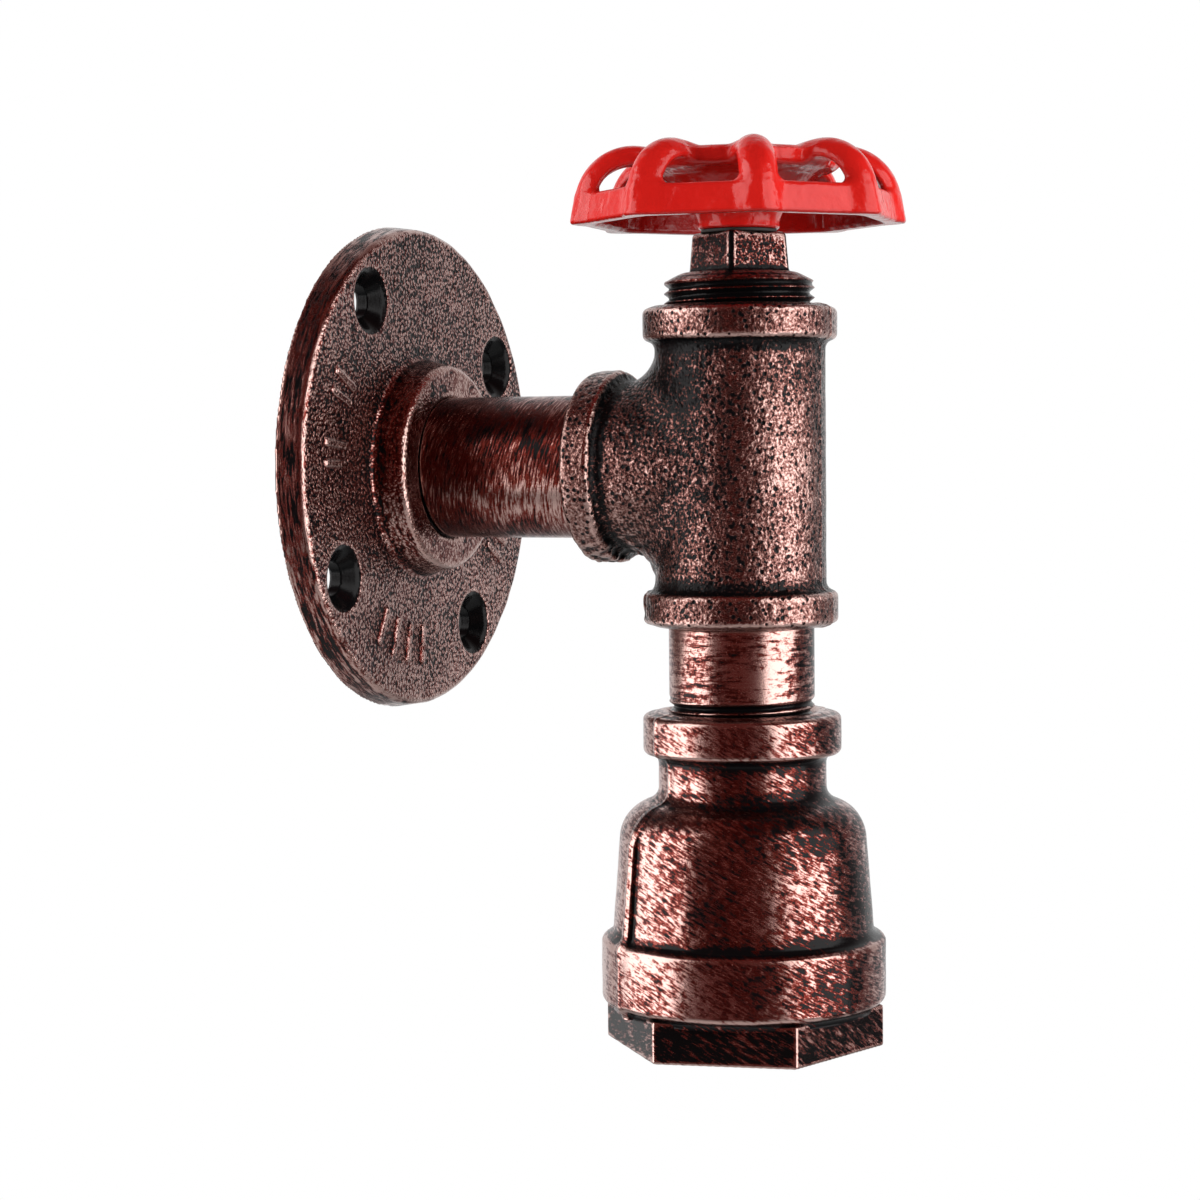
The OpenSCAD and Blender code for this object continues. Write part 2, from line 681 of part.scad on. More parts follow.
module switch_bush() {
    color(brass_metal) at_lamp_axis() difference() {
        union() {
            translate([0, 0, bush_flange_z]) cylinder(d = bush_flange_d, h = bush_flange_t);
            translate([0, 0, bush_flange_z])
                cylinder(d = bush_d, h = bonnet_top - bush_flange_z - seat_clear);
        }
        translate([0, 0, bush_flange_z - past])
            cylinder(r = spindle_d / 2 + running_clear, h = bonnet_top - bush_flange_z + 2 * past);
    }
}

module switch_nut() {
    color(zinc_plate) at_lamp_axis() translate([0, 0, nut_top - switch_nut_t]) difference() {
        hexagon(switch_nut_af, switch_nut_t);
        translate([0, 0, -past]) cylinder(r = bush_d / 2 + thread_clear, h = switch_nut_t + 2 * past);
    }
}

// Lock washer with a ring of outward teeth
module switch_washer() {
    teeth = 12;
    tooth_w = 1.8;
    tooth_r = switch_nut_af / 2 + 0.8;
    color(zinc_plate) at_lamp_axis() translate([0, 0, nut_top]) difference() {
        union() {
            cylinder(d = switch_nut_af - 1.4, h = switch_washer_t);
            for (i = [0 : teeth - 1]) rotate([0, 0, i * 360 / teeth])
                translate([0, -tooth_w / 2, 0]) cube([tooth_r, tooth_w, switch_washer_t]);
        }
        translate([0, 0, -past]) cylinder(r = bush_d / 2 + seat_clear, h = switch_washer_t + 2 * past);
    }
}

module switch_housing() {
    color(black_moulding) at_lamp_axis() difference() {
        translate([0, 0, housing_z]) cylinder(r = housing_r, h = housing_h);
        translate([0, 0, housing_z - past]) cylinder(r = housing_in_r, h = housing_h - housing_roof + past);
        translate([0, 0, housing_z]) cylinder(r = bush_d / 2 + seat_clear, h = housing_h + past);
    }
}

module switch_base() {
    color(black_moulding) at_lamp_axis() difference() {
        union() {
            translate([0, 0, base_z]) cylinder(r = housing_r, h = base_t - seat_clear);
            translate([0, 0, base_z]) cylinder(r = housing_in_r - seat_clear, h = base_t + base_plug_h);
        }
        for (side = [0, 180]) rotate([0, 0, side])
            translate([blade_x - seat_clear, -blade_w / 2 - seat_clear, base_z - past])
                cube([blade_t + 2 * seat_clear, blade_w + 2 * seat_clear, base_t + base_plug_h + 2 * past]);
    }
}

module switch_rotor() {
    color(glazed_white) at_lamp_axis() rotate([0, 0, wheel_turn]) translate([0, 0, rotor_z]) difference() {
        cylinder(r = rotor_r, h = rotor_h);
        translate([0, 0, -past]) linear_extrude(rotor_h + 2 * past) d_outline(seat_clear / 2);
    }
}

// Contact bar with round ends, a quarter turn from the blades when the switch is off
module moving_contact() {
    color(brass_metal) at_lamp_axis() translate([0, 0, rotor_z - moving_contact_t]) difference() {
        union() {
            intersection() {
                translate([-moving_contact_w / 2, -moving_contact_l / 2, 0])
                    cube([moving_contact_w, moving_contact_l, moving_contact_t]);
                cylinder(d = moving_contact_l, h = moving_contact_t);
            }
            cylinder(r = rotor_r, h = moving_contact_t);
        }
        rotate([0, 0, wheel_turn]) translate([0, 0, -past])
            linear_extrude(moving_contact_t + 2 * past) d_outline(seat_clear / 2);
    }
}

module fixed_contacts() {
    color(brass_metal) at_lamp_axis() for (side = [0, 180]) rotate([0, 0, side])
        translate([blade_x, -blade_w / 2, base_z - tag_l])
            cube([blade_t, blade_w, blade_top - base_z + tag_l]);
}

module lampholder_body() {
    flange_r = bushing_thread_d / 2 - 3 * seat_clear;
    flange_z = bushing_top + seat_clear;
    color(glazed_white) at_lamp_axis() difference() {
        union() {
            rotate_extrude() polygon(concat(
                arc([holder_r - holder_edge, holder_mouth_z + holder_edge], holder_edge, 270, 360),
                arc([holder_r - holder_edge, ceramic_top - holder_edge], holder_edge, 0, 90),
                [[0, ceramic_top], [0, holder_mouth_z]]));
            translate([0, 0, flange_z]) cylinder(r = flange_r, h = holder_flange_t);
        }
        translate([0, 0, holder_mouth_z - past])
            cylinder(r = shell_out_r + seat_clear, h = shell_depth + past);
        for (x = rivet_x) translate([x, 0, floor_z - past])
            cylinder(d = rivet_d + 2 * seat_clear, h = ceramic_top - floor_z + 2 * past);
    }
}

// Screw shell, drawn in past its thread, with an inward lip that is riveted to the holder's floor
module screw_shell() {
    lip_top = floor_z - seat_clear;
    shell_r = shell_d / 2;
    shell_z = holder_mouth_z + shell_setback;
    lip_r = shell_r - shell_lip_w;
    thread_end = shell_z + shell_thread_l;
    neck_z = thread_end + shell_r - shell_neck_r;
    color(brass_metal) at_lamp_axis() difference() {
        rotate_extrude() polygon([[shell_r, shell_z], [shell_out_r, shell_z], [shell_out_r, thread_end],
            [shell_neck_r + shell_t, neck_z], [shell_neck_r + shell_t, lip_top], [lip_r, lip_top],
            [lip_r, lip_top - shell_t], [shell_neck_r, lip_top - shell_t], [shell_neck_r, neck_z],
            [shell_r, thread_end]]);
        translate([rivet_x[0], 0, lip_top - shell_t - past])
            cylinder(d = rivet_d + 2 * seat_clear, h = shell_t + 2 * past);
    }
}

// Spring strip from its rivet down across the holder's axis
module centre_contact() {
    seat_z = floor_z - seat_clear - contact_t / 2;
    spring_drop = 4.5;
    reach = 4;
    bend_x = rivet_x[1] - rivet_head_d / 2 - contact_t;
    line = [[rivet_x[1] + rivet_head_d / 2, seat_z], [bend_x, seat_z], [bend_x - 2, seat_z - spring_drop],
        [bend_x - reach, seat_z - spring_drop - 0.4], [-reach, seat_z - spring_drop + 1]];
    color(brass_metal) at_lamp_axis() difference() {
        rotate([90, 0, 0]) translate([0, 0, -contact_w / 2])
            linear_extrude(contact_w) polygon(strip_outline(line, contact_t));
        translate([rivet_x[1], 0, seat_z - past]) cylinder(d = rivet_d + 2 * seat_clear, h = 2 * past);
    }
}

module contact_rivets() {
    head_z = floor_z - 2 * seat_clear - max(shell_t, contact_t) - rivet_head_h;
    color(brass_metal) at_lamp_axis() for (x = rivet_x) translate([x, 0, 0]) {
        translate([0, 0, head_z]) cylinder(d = rivet_head_d, h = rivet_head_h);
        translate([0, 0, head_z]) cylinder(d = rivet_d, h = ceramic_top - head_z);
    }
}

module lamp_terminals() {
    half = terminal_size / 2;
    color(brass_metal) at_lamp_axis() for (x = terminal_x) translate([x, 0, ceramic_top]) difference() {
        translate([-half, -half, 0]) cube([terminal_size, terminal_size, terminal_h]);
        translate([0, 0, terminal_h - wire_hole_l])
            cylinder(d = lead_d + 2 * seat_clear, h = wire_hole_l + past);
        translate([0, 0, terminal_h / 2]) rotate([90, 0, 0])
            cylinder(d = terminal_screw_d + 2 * thread_clear, h = half + past);
    }
}

module terminal_screws() {
    head_h = 1.4;
    tip_y = lead_d / 2 + 2 * seat_clear;
    half = terminal_size / 2;
    head_y = half + seat_clear;
    slot_w = 0.7;
    color(zinc_plate) at_lamp_axis() for (x = terminal_x)
        translate([x, 0, ceramic_top + terminal_h / 2]) rotate([90, 0, 0]) difference() {
            union() {
                translate([0, 0, tip_y]) cylinder(d = terminal_screw_d, h = head_y + head_h / 2 - tip_y);
                translate([0, 0, head_y]) cylinder(d = terminal_screw_head_d, h = head_h);
            }
            translate([-terminal_screw_head_d, -slot_w / 2, head_y + head_h / 2])
                cube([2 * terminal_screw_head_d, slot_w, head_h]);
        }
}

// Round tube along a path, its rings square to the path
module swept_tube(path, d, sides = 8) {
    last = len(path) - 1;
    rings = [for (i = [0 : last])
        let (along = unit(path[min(i + 1, last)] - path[max(i - 1, 0)]),
            across = unit(cross(along, [1, 0, 0])), up = cross(along, across))
        for (k = [0 : sides - 1])
            let (turn = k * 360 / sides) path[i] + (across * cos(turn) + up * sin(turn)) * d / 2];
    walls = [for (i = [0 : last - 1], k = [0 : sides - 1])
        let (a = i * sides + k, b = i * sides + (k + 1) % sides)
        each [[a, b + sides, b], [a, a + sides, b + sides]]];
    ends = [[for (k = [0 : sides - 1]) k], [for (k = [sides - 1 : -1 : 0]) last * sides + k]];
    polyhedron(points = rings, faces = concat(walls, ends));
}

module live_lead() {
    color(black_moulding) swept_tube(smooth_path(live_route), lead_d);
}

module switched_lead() {
    color([0.45, 0.08, 0.06]) swept_tube(smooth_path(switched_route), lead_d);
}

module neutral_lead() {
    color([0.88, 0.88, 0.86]) swept_tube(smooth_path(neutral_route), lead_d);
}

module tinned_ends() {
    color(tinned_copper) for (start = [live_route[0], neutral_route[0]])
        translate(start + [0, seat_clear / 2, 0]) rotate([-90, 0, 0]) cylinder(d = tinned_d, h = tinned_l);
}

wall_flange();
arm_nipple();
tee();
drop_nipple();
reducer();
hex_bushing();
bonnet();
thrust_washer();
handwheel();
wheel_screw();
wheel_washer();
switch_spindle();
switch_bush();
switch_nut();
switch_washer();
switch_housing();
switch_base();
switch_rotor();
moving_contact();
fixed_contacts();
lampholder_body();
screw_shell();
centre_contact();
contact_rivets();
lamp_terminals();
terminal_screws();
live_lead();
switched_lead();
neutral_lead();
tinned_ends();
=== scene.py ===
"""Looks of a pipe wall light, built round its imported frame. Sizes are in millimetres until a mesh is made."""

import math
from collections import namedtuple

import bpy
import numpy as np
import openvdb
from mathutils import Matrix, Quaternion, Vector


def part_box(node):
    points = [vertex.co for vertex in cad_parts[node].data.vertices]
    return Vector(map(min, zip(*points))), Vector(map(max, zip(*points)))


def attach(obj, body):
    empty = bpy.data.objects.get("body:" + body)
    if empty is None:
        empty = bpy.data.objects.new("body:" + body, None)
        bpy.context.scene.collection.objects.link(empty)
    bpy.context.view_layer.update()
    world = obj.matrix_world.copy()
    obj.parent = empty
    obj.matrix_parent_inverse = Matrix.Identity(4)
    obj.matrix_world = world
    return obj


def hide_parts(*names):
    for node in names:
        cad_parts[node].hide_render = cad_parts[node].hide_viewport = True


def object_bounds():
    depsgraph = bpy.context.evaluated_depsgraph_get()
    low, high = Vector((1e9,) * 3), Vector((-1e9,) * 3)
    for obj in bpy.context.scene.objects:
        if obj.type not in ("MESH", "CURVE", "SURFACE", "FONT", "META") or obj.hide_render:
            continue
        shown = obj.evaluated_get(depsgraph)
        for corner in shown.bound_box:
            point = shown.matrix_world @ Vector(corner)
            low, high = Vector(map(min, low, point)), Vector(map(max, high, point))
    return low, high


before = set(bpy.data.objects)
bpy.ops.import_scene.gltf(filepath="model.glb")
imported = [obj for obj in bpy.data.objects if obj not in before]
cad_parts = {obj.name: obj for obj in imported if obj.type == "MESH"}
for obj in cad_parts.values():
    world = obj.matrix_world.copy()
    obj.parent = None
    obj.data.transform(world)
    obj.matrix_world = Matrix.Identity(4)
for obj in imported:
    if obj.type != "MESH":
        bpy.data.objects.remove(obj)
CAD_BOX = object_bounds()

# Units and places that the frame gives
MM = 0.001


def corners(node):
    """Lowest and highest corner of a node, in millimetres."""
    return [np.array(corner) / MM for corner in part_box(node)]


FLANGE_LOW, FLANGE_HIGH = corners("wall_flange")
ARM_LOW, ARM_HIGH = corners("arm_nipple")
TEE_HIGH = corners("tee")[1]
DROP_LOW, DROP_HIGH = corners("drop_nipple")
REDUCER_LOW, REDUCER_HIGH = corners("reducer")
BUSHING_LOW, BUSHING_HIGH = corners("hex_bushing")
BONNET_LOW, BONNET_HIGH = corners("bonnet")
WHEEL_LOW, WHEEL_HIGH = corners("handwheel")
SHELL_LOW, SHELL_HIGH = corners("screw_shell")

TEE_BAND_R = TEE_HIGH[0]
TEE_REACH = TEE_HIGH[2]
LAMP_Y = TEE_HIGH[1] - TEE_REACH

# Common edges, and how far a shape runs on past a plane that cuts it
SMALL_EDGE = 0.3
PAST = 3.0

# Pipe and its threads
PIPE_R = ARM_HIGH[0]
PIPE_BORE_R = PIPE_R - 2.9
PIPE_EDGE = 0.4
TAPPED_R = PIPE_R - 0.55
MOUTH_R = PIPE_R + 0.4
MOUTH_END = 2.0
PIPE_PITCH = 25.4 / 14
THREAD_DEPTH = 0.9
THREAD_ROOT = 1.25
THREAD_SLOPE = 2.7
THREAD_SHOWN = 3.4
THREAD_HIDDEN = 0.9

# Wall flange
FLANGE_R = FLANGE_HIGH[0]
FLANGE_DEPTH = -FLANGE_LOW[1]
FLANGE_PLATE = 5.4
FLANGE_DRAFT = 0.8
FLANGE_EDGE = 1.2
HUB_R = 19.3
HUB_DRAFT = 1.4
HUB_EDGE = 1.0
HUB_FILLET = 1.0
SCREW_HOLES = 4
SCREW_CIRCLE_R = 37.0
SCREW_HOLE_R = 3.25
SCREW_HOLE_EDGE = 0.7
SCREW_SINK_R = 5.9
SINK_SCALE = 0.8
SCREW_TURN = math.radians(32.5)
MARK_TURNS = [math.radians(turn) for turn in (151, 157, 172, 178, -120, -111, -102, -93, -31, -25)]
MARK_R = 34.0
MARK_L = 7.5
MARK_W = 1.3
MARK_H = 0.45
MARK_EDGE = 0.5
MARK_FOOT = 0.4

# Fittings
BAND_EDGE = 1.1
TEE_BAND_W = 5.9
TEE_BARREL_R = 15.6
BRANCH_TAPER = 1.6
SADDLE_FILLET = 7.0
SADDLE_NARROWING = 0.9
NECK_FILLET = 1.6
SEAM_H = 0.22
SEAM_W = 0.55
LUMP_H = 0.04
LUMP_LENGTH = 6.0
FLAW_H = 0.22
FLAW_LENGTH = 2.6
FLAW_BELOW = 11.0
FLAW_START = 13.0
FLAW_END = 30.0

# Reducer
REDUCER_TOP = REDUCER_HIGH[2]
REDUCER_BOTTOM = REDUCER_LOW[2]
REDUCER_BAND_R = 18.2
REDUCER_BAND_W = 7.4
REDUCER_NECK_R = 15.45
REDUCER_NECK_L = 15.75
REDUCER_LUMP_H = 0.6 * LUMP_H
SHOULDER_R = 7.5
SHOULDER_FILLET = 2.2
BODY_R = 22.7
BODY_SET_IN = 1.0
FOOT_R = 24.1
FOOT_SET_IN = 2.0
FLARE_END = 1.2
MOUTH_BAND_R = 26.15
MOUTH_BAND_W = 11.9
RIB_TURN = math.radians(142)
RIB_W = 2.6
RIB_H = 0.9
RIB_EDGE = 0.5
RIB_FOOT = 0.6
RIB_RUNOUT = 5.0
RIB_SINK = -0.5
CHAMBER_R = 19.0
CHAMBER_EDGE = 3.5
CHAMBER_PAST = 9.0
BUSHING_THREAD_R = 20.5
BUSHING_THREAD_L = 14.0
WALL = 3.7

# Bushing and bonnet
BUSHING_AF = 44.7
BUSHING_CORNER = 0.5
BUSHING_EDGE = 0.4
BUSHING_TURN = math.radians(42.8)
BUSHING_HEX_H = 7.6
BUSHING_OVERLAP = 1.0
BUSHING_BORE_R = 16.6
BUSHING_CHAMFER = 1.2
BONNET_SQUARE = 13.6
BONNET_CORNER = 0.45
BONNET_CORNER_EDGE = 0.25
BONNET_DRAFT = 0.45
BONNET_TURN = math.radians(12.6)
BONNET_HEAD_H = 7.3
BONNET_HEAD_EDGE = 0.9
BONNET_HEAD_SINK = 2.0
BONNET_FOOT = 0.6
BONNET_CREST_R = 13.7
BONNET_CREST_EDGE = 0.35
BONNET_SHOULDER = 1.6
BONNET_SHOULDER_SLOPE = 2.0
BONNET_THREAD_LEAD = 0.5
BONNET_ENTRY = 0.4
BONNET_CLEAR = 0.1
BONNET_HOLLOW_R = 10.4
BONNET_ROOF = 3.5

# Screw shell
SHELL_R = 13.6
SHELL_T = 0.5
SHELL_SCALE = 0.75
SHELL_PITCH = 25.4 / 7
SHELL_GROOVE = 1.1
SHELL_THREAD_L = 17.0
SHELL_NECK_IN = 1.3
SHELL_LIP_R = 7.85
SHELL_RIVET_X = -9.7
SHELL_RIVET_R = 2.0

# Handwheel
WHEEL_SIDES = 8
WHEEL_R = 30.6
WHEEL_TURN = math.radians(29.4)
WHEEL_BOTTOM = WHEEL_LOW[2]
WHEEL_TOP = WHEEL_HIGH[2]
WHEEL_LEAN = math.radians(10)
RIM_LIFT = 1.0
RIM_H = 5.5
RIM_T = 3.2
RIM_EDGE = 0.8
RIM_SET_IN = 0.5
ARCH_R = 10.8
ARCH_T = 3.6
ARCH_CROWN_R = 3.47
ARCH_EDGE = 0.9
ARCH_SWEEP = math.radians(126)
DISC_R = 18.0
DISC_T = 3.6
DISC_DROP = 1.4
DISC_EDGE = 1.5
DISC_OVERLAP = 1.0
WHEEL_HUB_R = 7.4
WHEEL_HUB_EDGE = 0.5
COLLAR_H = 2.6
CONE_R = 15.0
CONE_FILLET = 1.2
RECESS_R = 6.2
RECESS_DEPTH = 3.4
RECESS_EDGE = 0.6
SPINDLE_R = 3.05
ENAMEL_FILLET = 1.5


# Distance fields: each says how far a point lies from a surface, negative inside


def ramp(value, start, length):
    """0 up to start and 1 from length past it, with a straight rise between."""
    return np.clip((value - start) / length, 0, 1)


def rounded(a, b, edge):
    """Where two half spaces meet, with a rounded edge."""
    a, b = a + edge, b + edge
    return np.hypot(np.maximum(a, 0), np.maximum(b, 0)) + np.minimum(np.maximum(a, b), 0) - edge


def slab(along, low, high):
    """The space between two levels."""
    return np.abs(along - (low + high) / 2) - (high - low) / 2


def drum(r, along, radius, low, high, edge=SMALL_EDGE):
    """A cylinder with rounded rims."""
    return rounded(r - radius, slab(along, low, high), edge)


def fillet(a, b, radius):
    """Two shapes joined with a fillet between them."""
    inside = np.hypot(np.maximum(radius - a, 0), np.maximum(radius - b, 0))
    return np.maximum(radius, np.minimum(a, b)) - inside


def carve(a, b, edge=SMALL_EDGE):
    """The first shape without the second, its new edges rounded."""
    return -fillet(-a, b, edge)


def hexagon(x, y, across_flats, turn, edge):
    """A hexagonal column with rounded corners; its corners lie at turn and every 60 degrees from there."""
    sector = math.radians(60)
    angle = np.arctan2(y, x) - turn
    angle = np.abs(np.mod(angle, sector) - sector / 2)
    r = np.hypot(x, y)
    flat = r * np.cos(angle) - (across_flats / 2 - edge)
    past_corner = np.maximum(r * np.sin(angle) - (across_flats / 2 - edge) * math.tan(sector / 2), 0)
    return np.where(flat > 0, np.hypot(flat, past_corner), flat) - edge


def lumps(x, y, z, length, waves=7):
    """Uneven height of a casting's skin, between about -1 and 1, as a sum of waves in many directions."""
    total = 0
    for i in range(waves):
        up = 1 - (2 * i + 1) / waves
        flat, turn = math.sqrt(1 - up * up), 2.4 * i
        wave = (flat * math.cos(turn) * x + flat * math.sin(turn) * y + up * z) / length
        total = total + np.sin(2 * math.pi * wave * (0.7 + 0.6 * i / waves) + 1.7 * i * i)
    return total / math.sqrt(waves)


def seam(across, along):
    """Low uneven ridge that a mould leaves where its halves meet."""
    height = 0.75 + 0.25 * np.sin(1.9 * along) * np.sin(0.83 * along + 1)
    return SEAM_H * height * np.exp(-((across / SEAM_W) ** 2))


def thread(turn, along, depth):
    """How far a right-hand pipe thread lies below its crest."""
    phase = np.mod(along / PIPE_PITCH - turn / (2 * math.pi), 1)
    return depth * np.clip(THREAD_ROOT - THREAD_SLOPE * np.abs(phase - 0.5), 0, 1)


def threaded_pipe(x, y, along, low, high, thread_low, thread_high):
    """Pipe with a thread at each end that runs out towards its bare middle."""
    turn, r = np.arctan2(y, x), np.hypot(x, y)
    inside = np.minimum(along - thread_low, thread_high - along)
    wall = r + thread(turn, along, THREAD_DEPTH * ramp(-inside, 0, PIPE_PITCH))
    return carve(drum(wall, along, PIPE_R, low, high), r - PIPE_BORE_R, PIPE_EDGE)


def tapped_end(r, along, reach):
    """Hole through a fitting's end, wider at its mouth."""
    return r - TAPPED_R - np.clip(along - (reach - MOUTH_R + TAPPED_R), 0, MOUTH_END)


def wall_flange(x, y, z):
    """Drafted plate and hub with raised bars, four countersunk holes and a tapped middle."""
    out, r = -y, np.hypot(x, z)
    plate_r = r + FLANGE_DRAFT * out / FLANGE_PLATE
    plate = np.maximum(drum(plate_r, out, FLANGE_R, -PAST, FLANGE_PLATE, FLANGE_EDGE), -out)
    hub_r = r - HUB_DRAFT * ramp(FLANGE_DEPTH - out, 0, FLANGE_DEPTH - FLANGE_PLATE)
    body = fillet(plate, drum(hub_r, out, HUB_R, 0, FLANGE_DEPTH, HUB_EDGE), HUB_FILLET)
    body = body - LUMP_H * lumps(x, y, z, LUMP_LENGTH)
    for turn in MARK_TURNS:
        along = x * math.cos(turn) + z * math.sin(turn)
        across = z * math.cos(turn) - x * math.sin(turn)
        bar = rounded(np.abs(across) - MARK_W / 2, np.abs(along - MARK_R) - MARK_L / 2, MARK_EDGE)
        body = fillet(body, rounded(bar, out - FLANGE_PLATE - MARK_H, SMALL_EDGE), MARK_FOOT)
    body = np.maximum(body, -out)
    sink = SCREW_SINK_R - SCREW_HOLE_R
    for i in range(SCREW_HOLES):
        turn = SCREW_TURN + i * 2 * math.pi / SCREW_HOLES
        from_hole = np.hypot(x - SCREW_CIRCLE_R * math.cos(turn), z - SCREW_CIRCLE_R * math.sin(turn))
        widening = np.clip(out - (FLANGE_PLATE - sink), 0, 2 * sink)
        body = carve(body, (from_hole - SCREW_HOLE_R - widening) * SINK_SCALE, SCREW_HOLE_EDGE)
    return carve(body, tapped_end(r, out, FLANGE_DEPTH))


def arm_nipple(x, y, z):
    """Pipe from the flange to the tee, its threads hidden in both."""
    thread_low = FLANGE_DEPTH + THREAD_HIDDEN
    thread_high = -LAMP_Y - TEE_REACH - THREAD_HIDDEN
    return threaded_pipe(x, z, -y, -ARM_HIGH[1], -ARM_LOW[1], thread_low, thread_high)


def tee_end(r, along):
    """Barrel of the tee with the band round its end."""
    barrel = drum(r, along, TEE_BARREL_R, -TEE_REACH, TEE_REACH)
    band = drum(r, along, TEE_BAND_R, TEE_REACH - TEE_BAND_W, TEE_REACH, BAND_EDGE)
    return fillet(barrel, band, NECK_FILLET)


def tee(x, y, z):
    """Run and branch joined by a saddle, with a mould seam all round and rough flaws under the branch."""
    y = y - LAMP_Y
    run_r, branch_r, height = np.hypot(x, y), np.hypot(x, z), np.abs(z)
    run = tee_end(run_r, height)
    branch = tee_end(np.hypot(branch_r, BRANCH_TAPER * np.minimum(y, 0)), y)
    meeting = 1 - SADDLE_NARROWING * x**2 / np.maximum(run_r * branch_r, 0.1)
    body = fillet(run, branch, SADDLE_FILLET * meeting)
    body = body - seam(x, z + y) - LUMP_H * lumps(x, y, z, LUMP_LENGTH)
    underside = ramp(-z, FLAW_BELOW, 5) * ramp(y, FLAW_START, 4) * ramp(FLAW_END - y, 0, 3)
    body = body - FLAW_H * underside * lumps(x, y, z, FLAW_LENGTH)
    branch_hole = np.maximum(tapped_end(branch_r, y, TEE_REACH), -y)
    return carve(body, np.minimum(tapped_end(run_r, height, TEE_REACH), branch_hole))


def drop_nipple(x, y, z):
    """Pipe from the tee to the reducer, some of its lower thread showing."""
    thread_low = REDUCER_TOP + THREAD_SHOWN
    thread_high = -TEE_REACH - THREAD_HIDDEN
    return threaded_pipe(x, y - LAMP_Y, z, DROP_LOW[2], DROP_HIGH[2], thread_low, thread_high)


def reducer(x, y, z):
    """Neck and bell with a band at each end and two ribs on the bell, hollow inside."""
    y = y - LAMP_Y
    r, turn = np.hypot(x, y), np.arctan2(y, x)
    shoulder_z = REDUCER_TOP - REDUCER_NECK_L - SHOULDER_R
    foot_z = REDUCER_BOTTOM + MOUTH_BAND_W
    flare = (FOOT_R - BODY_R) * np.clip((shoulder_z - z) / (shoulder_z - foot_z), 0, FLARE_END)
    bell_top = shoulder_z + SHOULDER_R
    bell = drum(r - flare, z, BODY_R, REDUCER_BOTTOM + BODY_SET_IN, bell_top, SHOULDER_R)
    bell = np.where(z < foot_z - FOOT_SET_IN, r - FOOT_R, bell)
    across = r * np.sin(turn - RIB_TURN)
    rib_h = RIB_H * np.clip((shoulder_z + RIB_RUNOUT - z) / RIB_RUNOUT, RIB_SINK, 1)
    rib = rounded(np.abs(across) - RIB_W / 2, bell - rib_h, RIB_EDGE)
    neck = drum(r, z, REDUCER_NECK_R, foot_z, REDUCER_TOP)
    band = drum(r, z, REDUCER_BAND_R, REDUCER_TOP - REDUCER_BAND_W, REDUCER_TOP, BAND_EDGE)
    mouth = drum(r, z, MOUTH_BAND_R, REDUCER_BOTTOM, foot_z, BAND_EDGE)
    body = fillet(fillet(neck, bell, SHOULDER_FILLET), band, NECK_FILLET)
    body = fillet(fillet(body, rib, RIB_FOOT), mouth, NECK_FILLET)
    body = body - seam(across, z) - REDUCER_LUMP_H * lumps(x, y, z, LUMP_LENGTH)
    chamber = drum(r, z, CHAMBER_R, REDUCER_BOTTOM - CHAMBER_PAST, bell_top - WALL, CHAMBER_EDGE)
    bottom_hole = np.maximum(r - BUSHING_THREAD_R, z - (REDUCER_BOTTOM + BUSHING_THREAD_L))
    hole = np.minimum(np.minimum(tapped_end(r, z, REDUCER_TOP), chamber), bottom_hole)
    return carve(body, hole)


def hex_bushing(x, y, z):
    """Hexagon under a plain thread, with a chamfered bore."""
    y = y - LAMP_Y
    r = np.hypot(x, y)
    low = BUSHING_LOW[2]
    column = hexagon(x, y, BUSHING_AF, BUSHING_TURN, BUSHING_CORNER)
    head = rounded(column, slab(z, low, low + BUSHING_HEX_H), BUSHING_EDGE)
    body = np.minimum(head, drum(r, z, BUSHING_THREAD_R, low + BUSHING_OVERLAP, BUSHING_HIGH[2]))
    return carve(body, r - BUSHING_BORE_R - np.clip(low + BUSHING_CHAMFER - z, 0, PAST))


def bonnet(x, y, z):
    """Drafted square head with cut corners on a threaded plug, hollow from below."""
    y = y - LAMP_Y
    r, turn = np.hypot(x, y), np.arctan2(y, x)
    top, head_base = BONNET_HIGH[2], BONNET_HIGH[2] - BONNET_HEAD_H
    half = BONNET_SQUARE / 2 - BONNET_DRAFT * (z - head_base) / BONNET_HEAD_H
    side_x, side_y = math.cos(BONNET_TURN + math.pi / 4), math.sin(BONNET_TURN + math.pi / 4)
    u, v = np.abs(x * side_x + y * side_y), np.abs(y * side_x - x * side_y)
    corner = (u + v) / math.sqrt(2) - half * math.sqrt(2) + BONNET_CORNER
    column = rounded(np.maximum(u, v) - half, corner, BONNET_CORNER_EDGE)
    head = rounded(column, slab(z, head_base - BONNET_HEAD_SINK, top), BONNET_HEAD_EDGE)
    thread_top = head_base - BONNET_SHOULDER
    depth = THREAD_DEPTH * ramp(thread_top + BONNET_THREAD_LEAD - z, 0, PIPE_PITCH)
    cone_r = r + BONNET_SHOULDER_SLOPE * np.clip(z - thread_top, 0, 2 * BONNET_SHOULDER)
    cut_r = cone_r + thread(turn, z, depth)
    plug = drum(cut_r, z, BONNET_CREST_R, BONNET_LOW[2], head_base, BONNET_CREST_EDGE)
    in_tee = np.maximum(plug, r - TAPPED_R + BONNET_CLEAR)
    plug = np.where(z < TEE_REACH - BONNET_ENTRY, in_tee, plug)
    hollow = np.maximum(r - BONNET_HOLLOW_R, z - (head_base - BONNET_ROOF))
    return carve(fillet(head, plug, BONNET_FOOT), hollow)


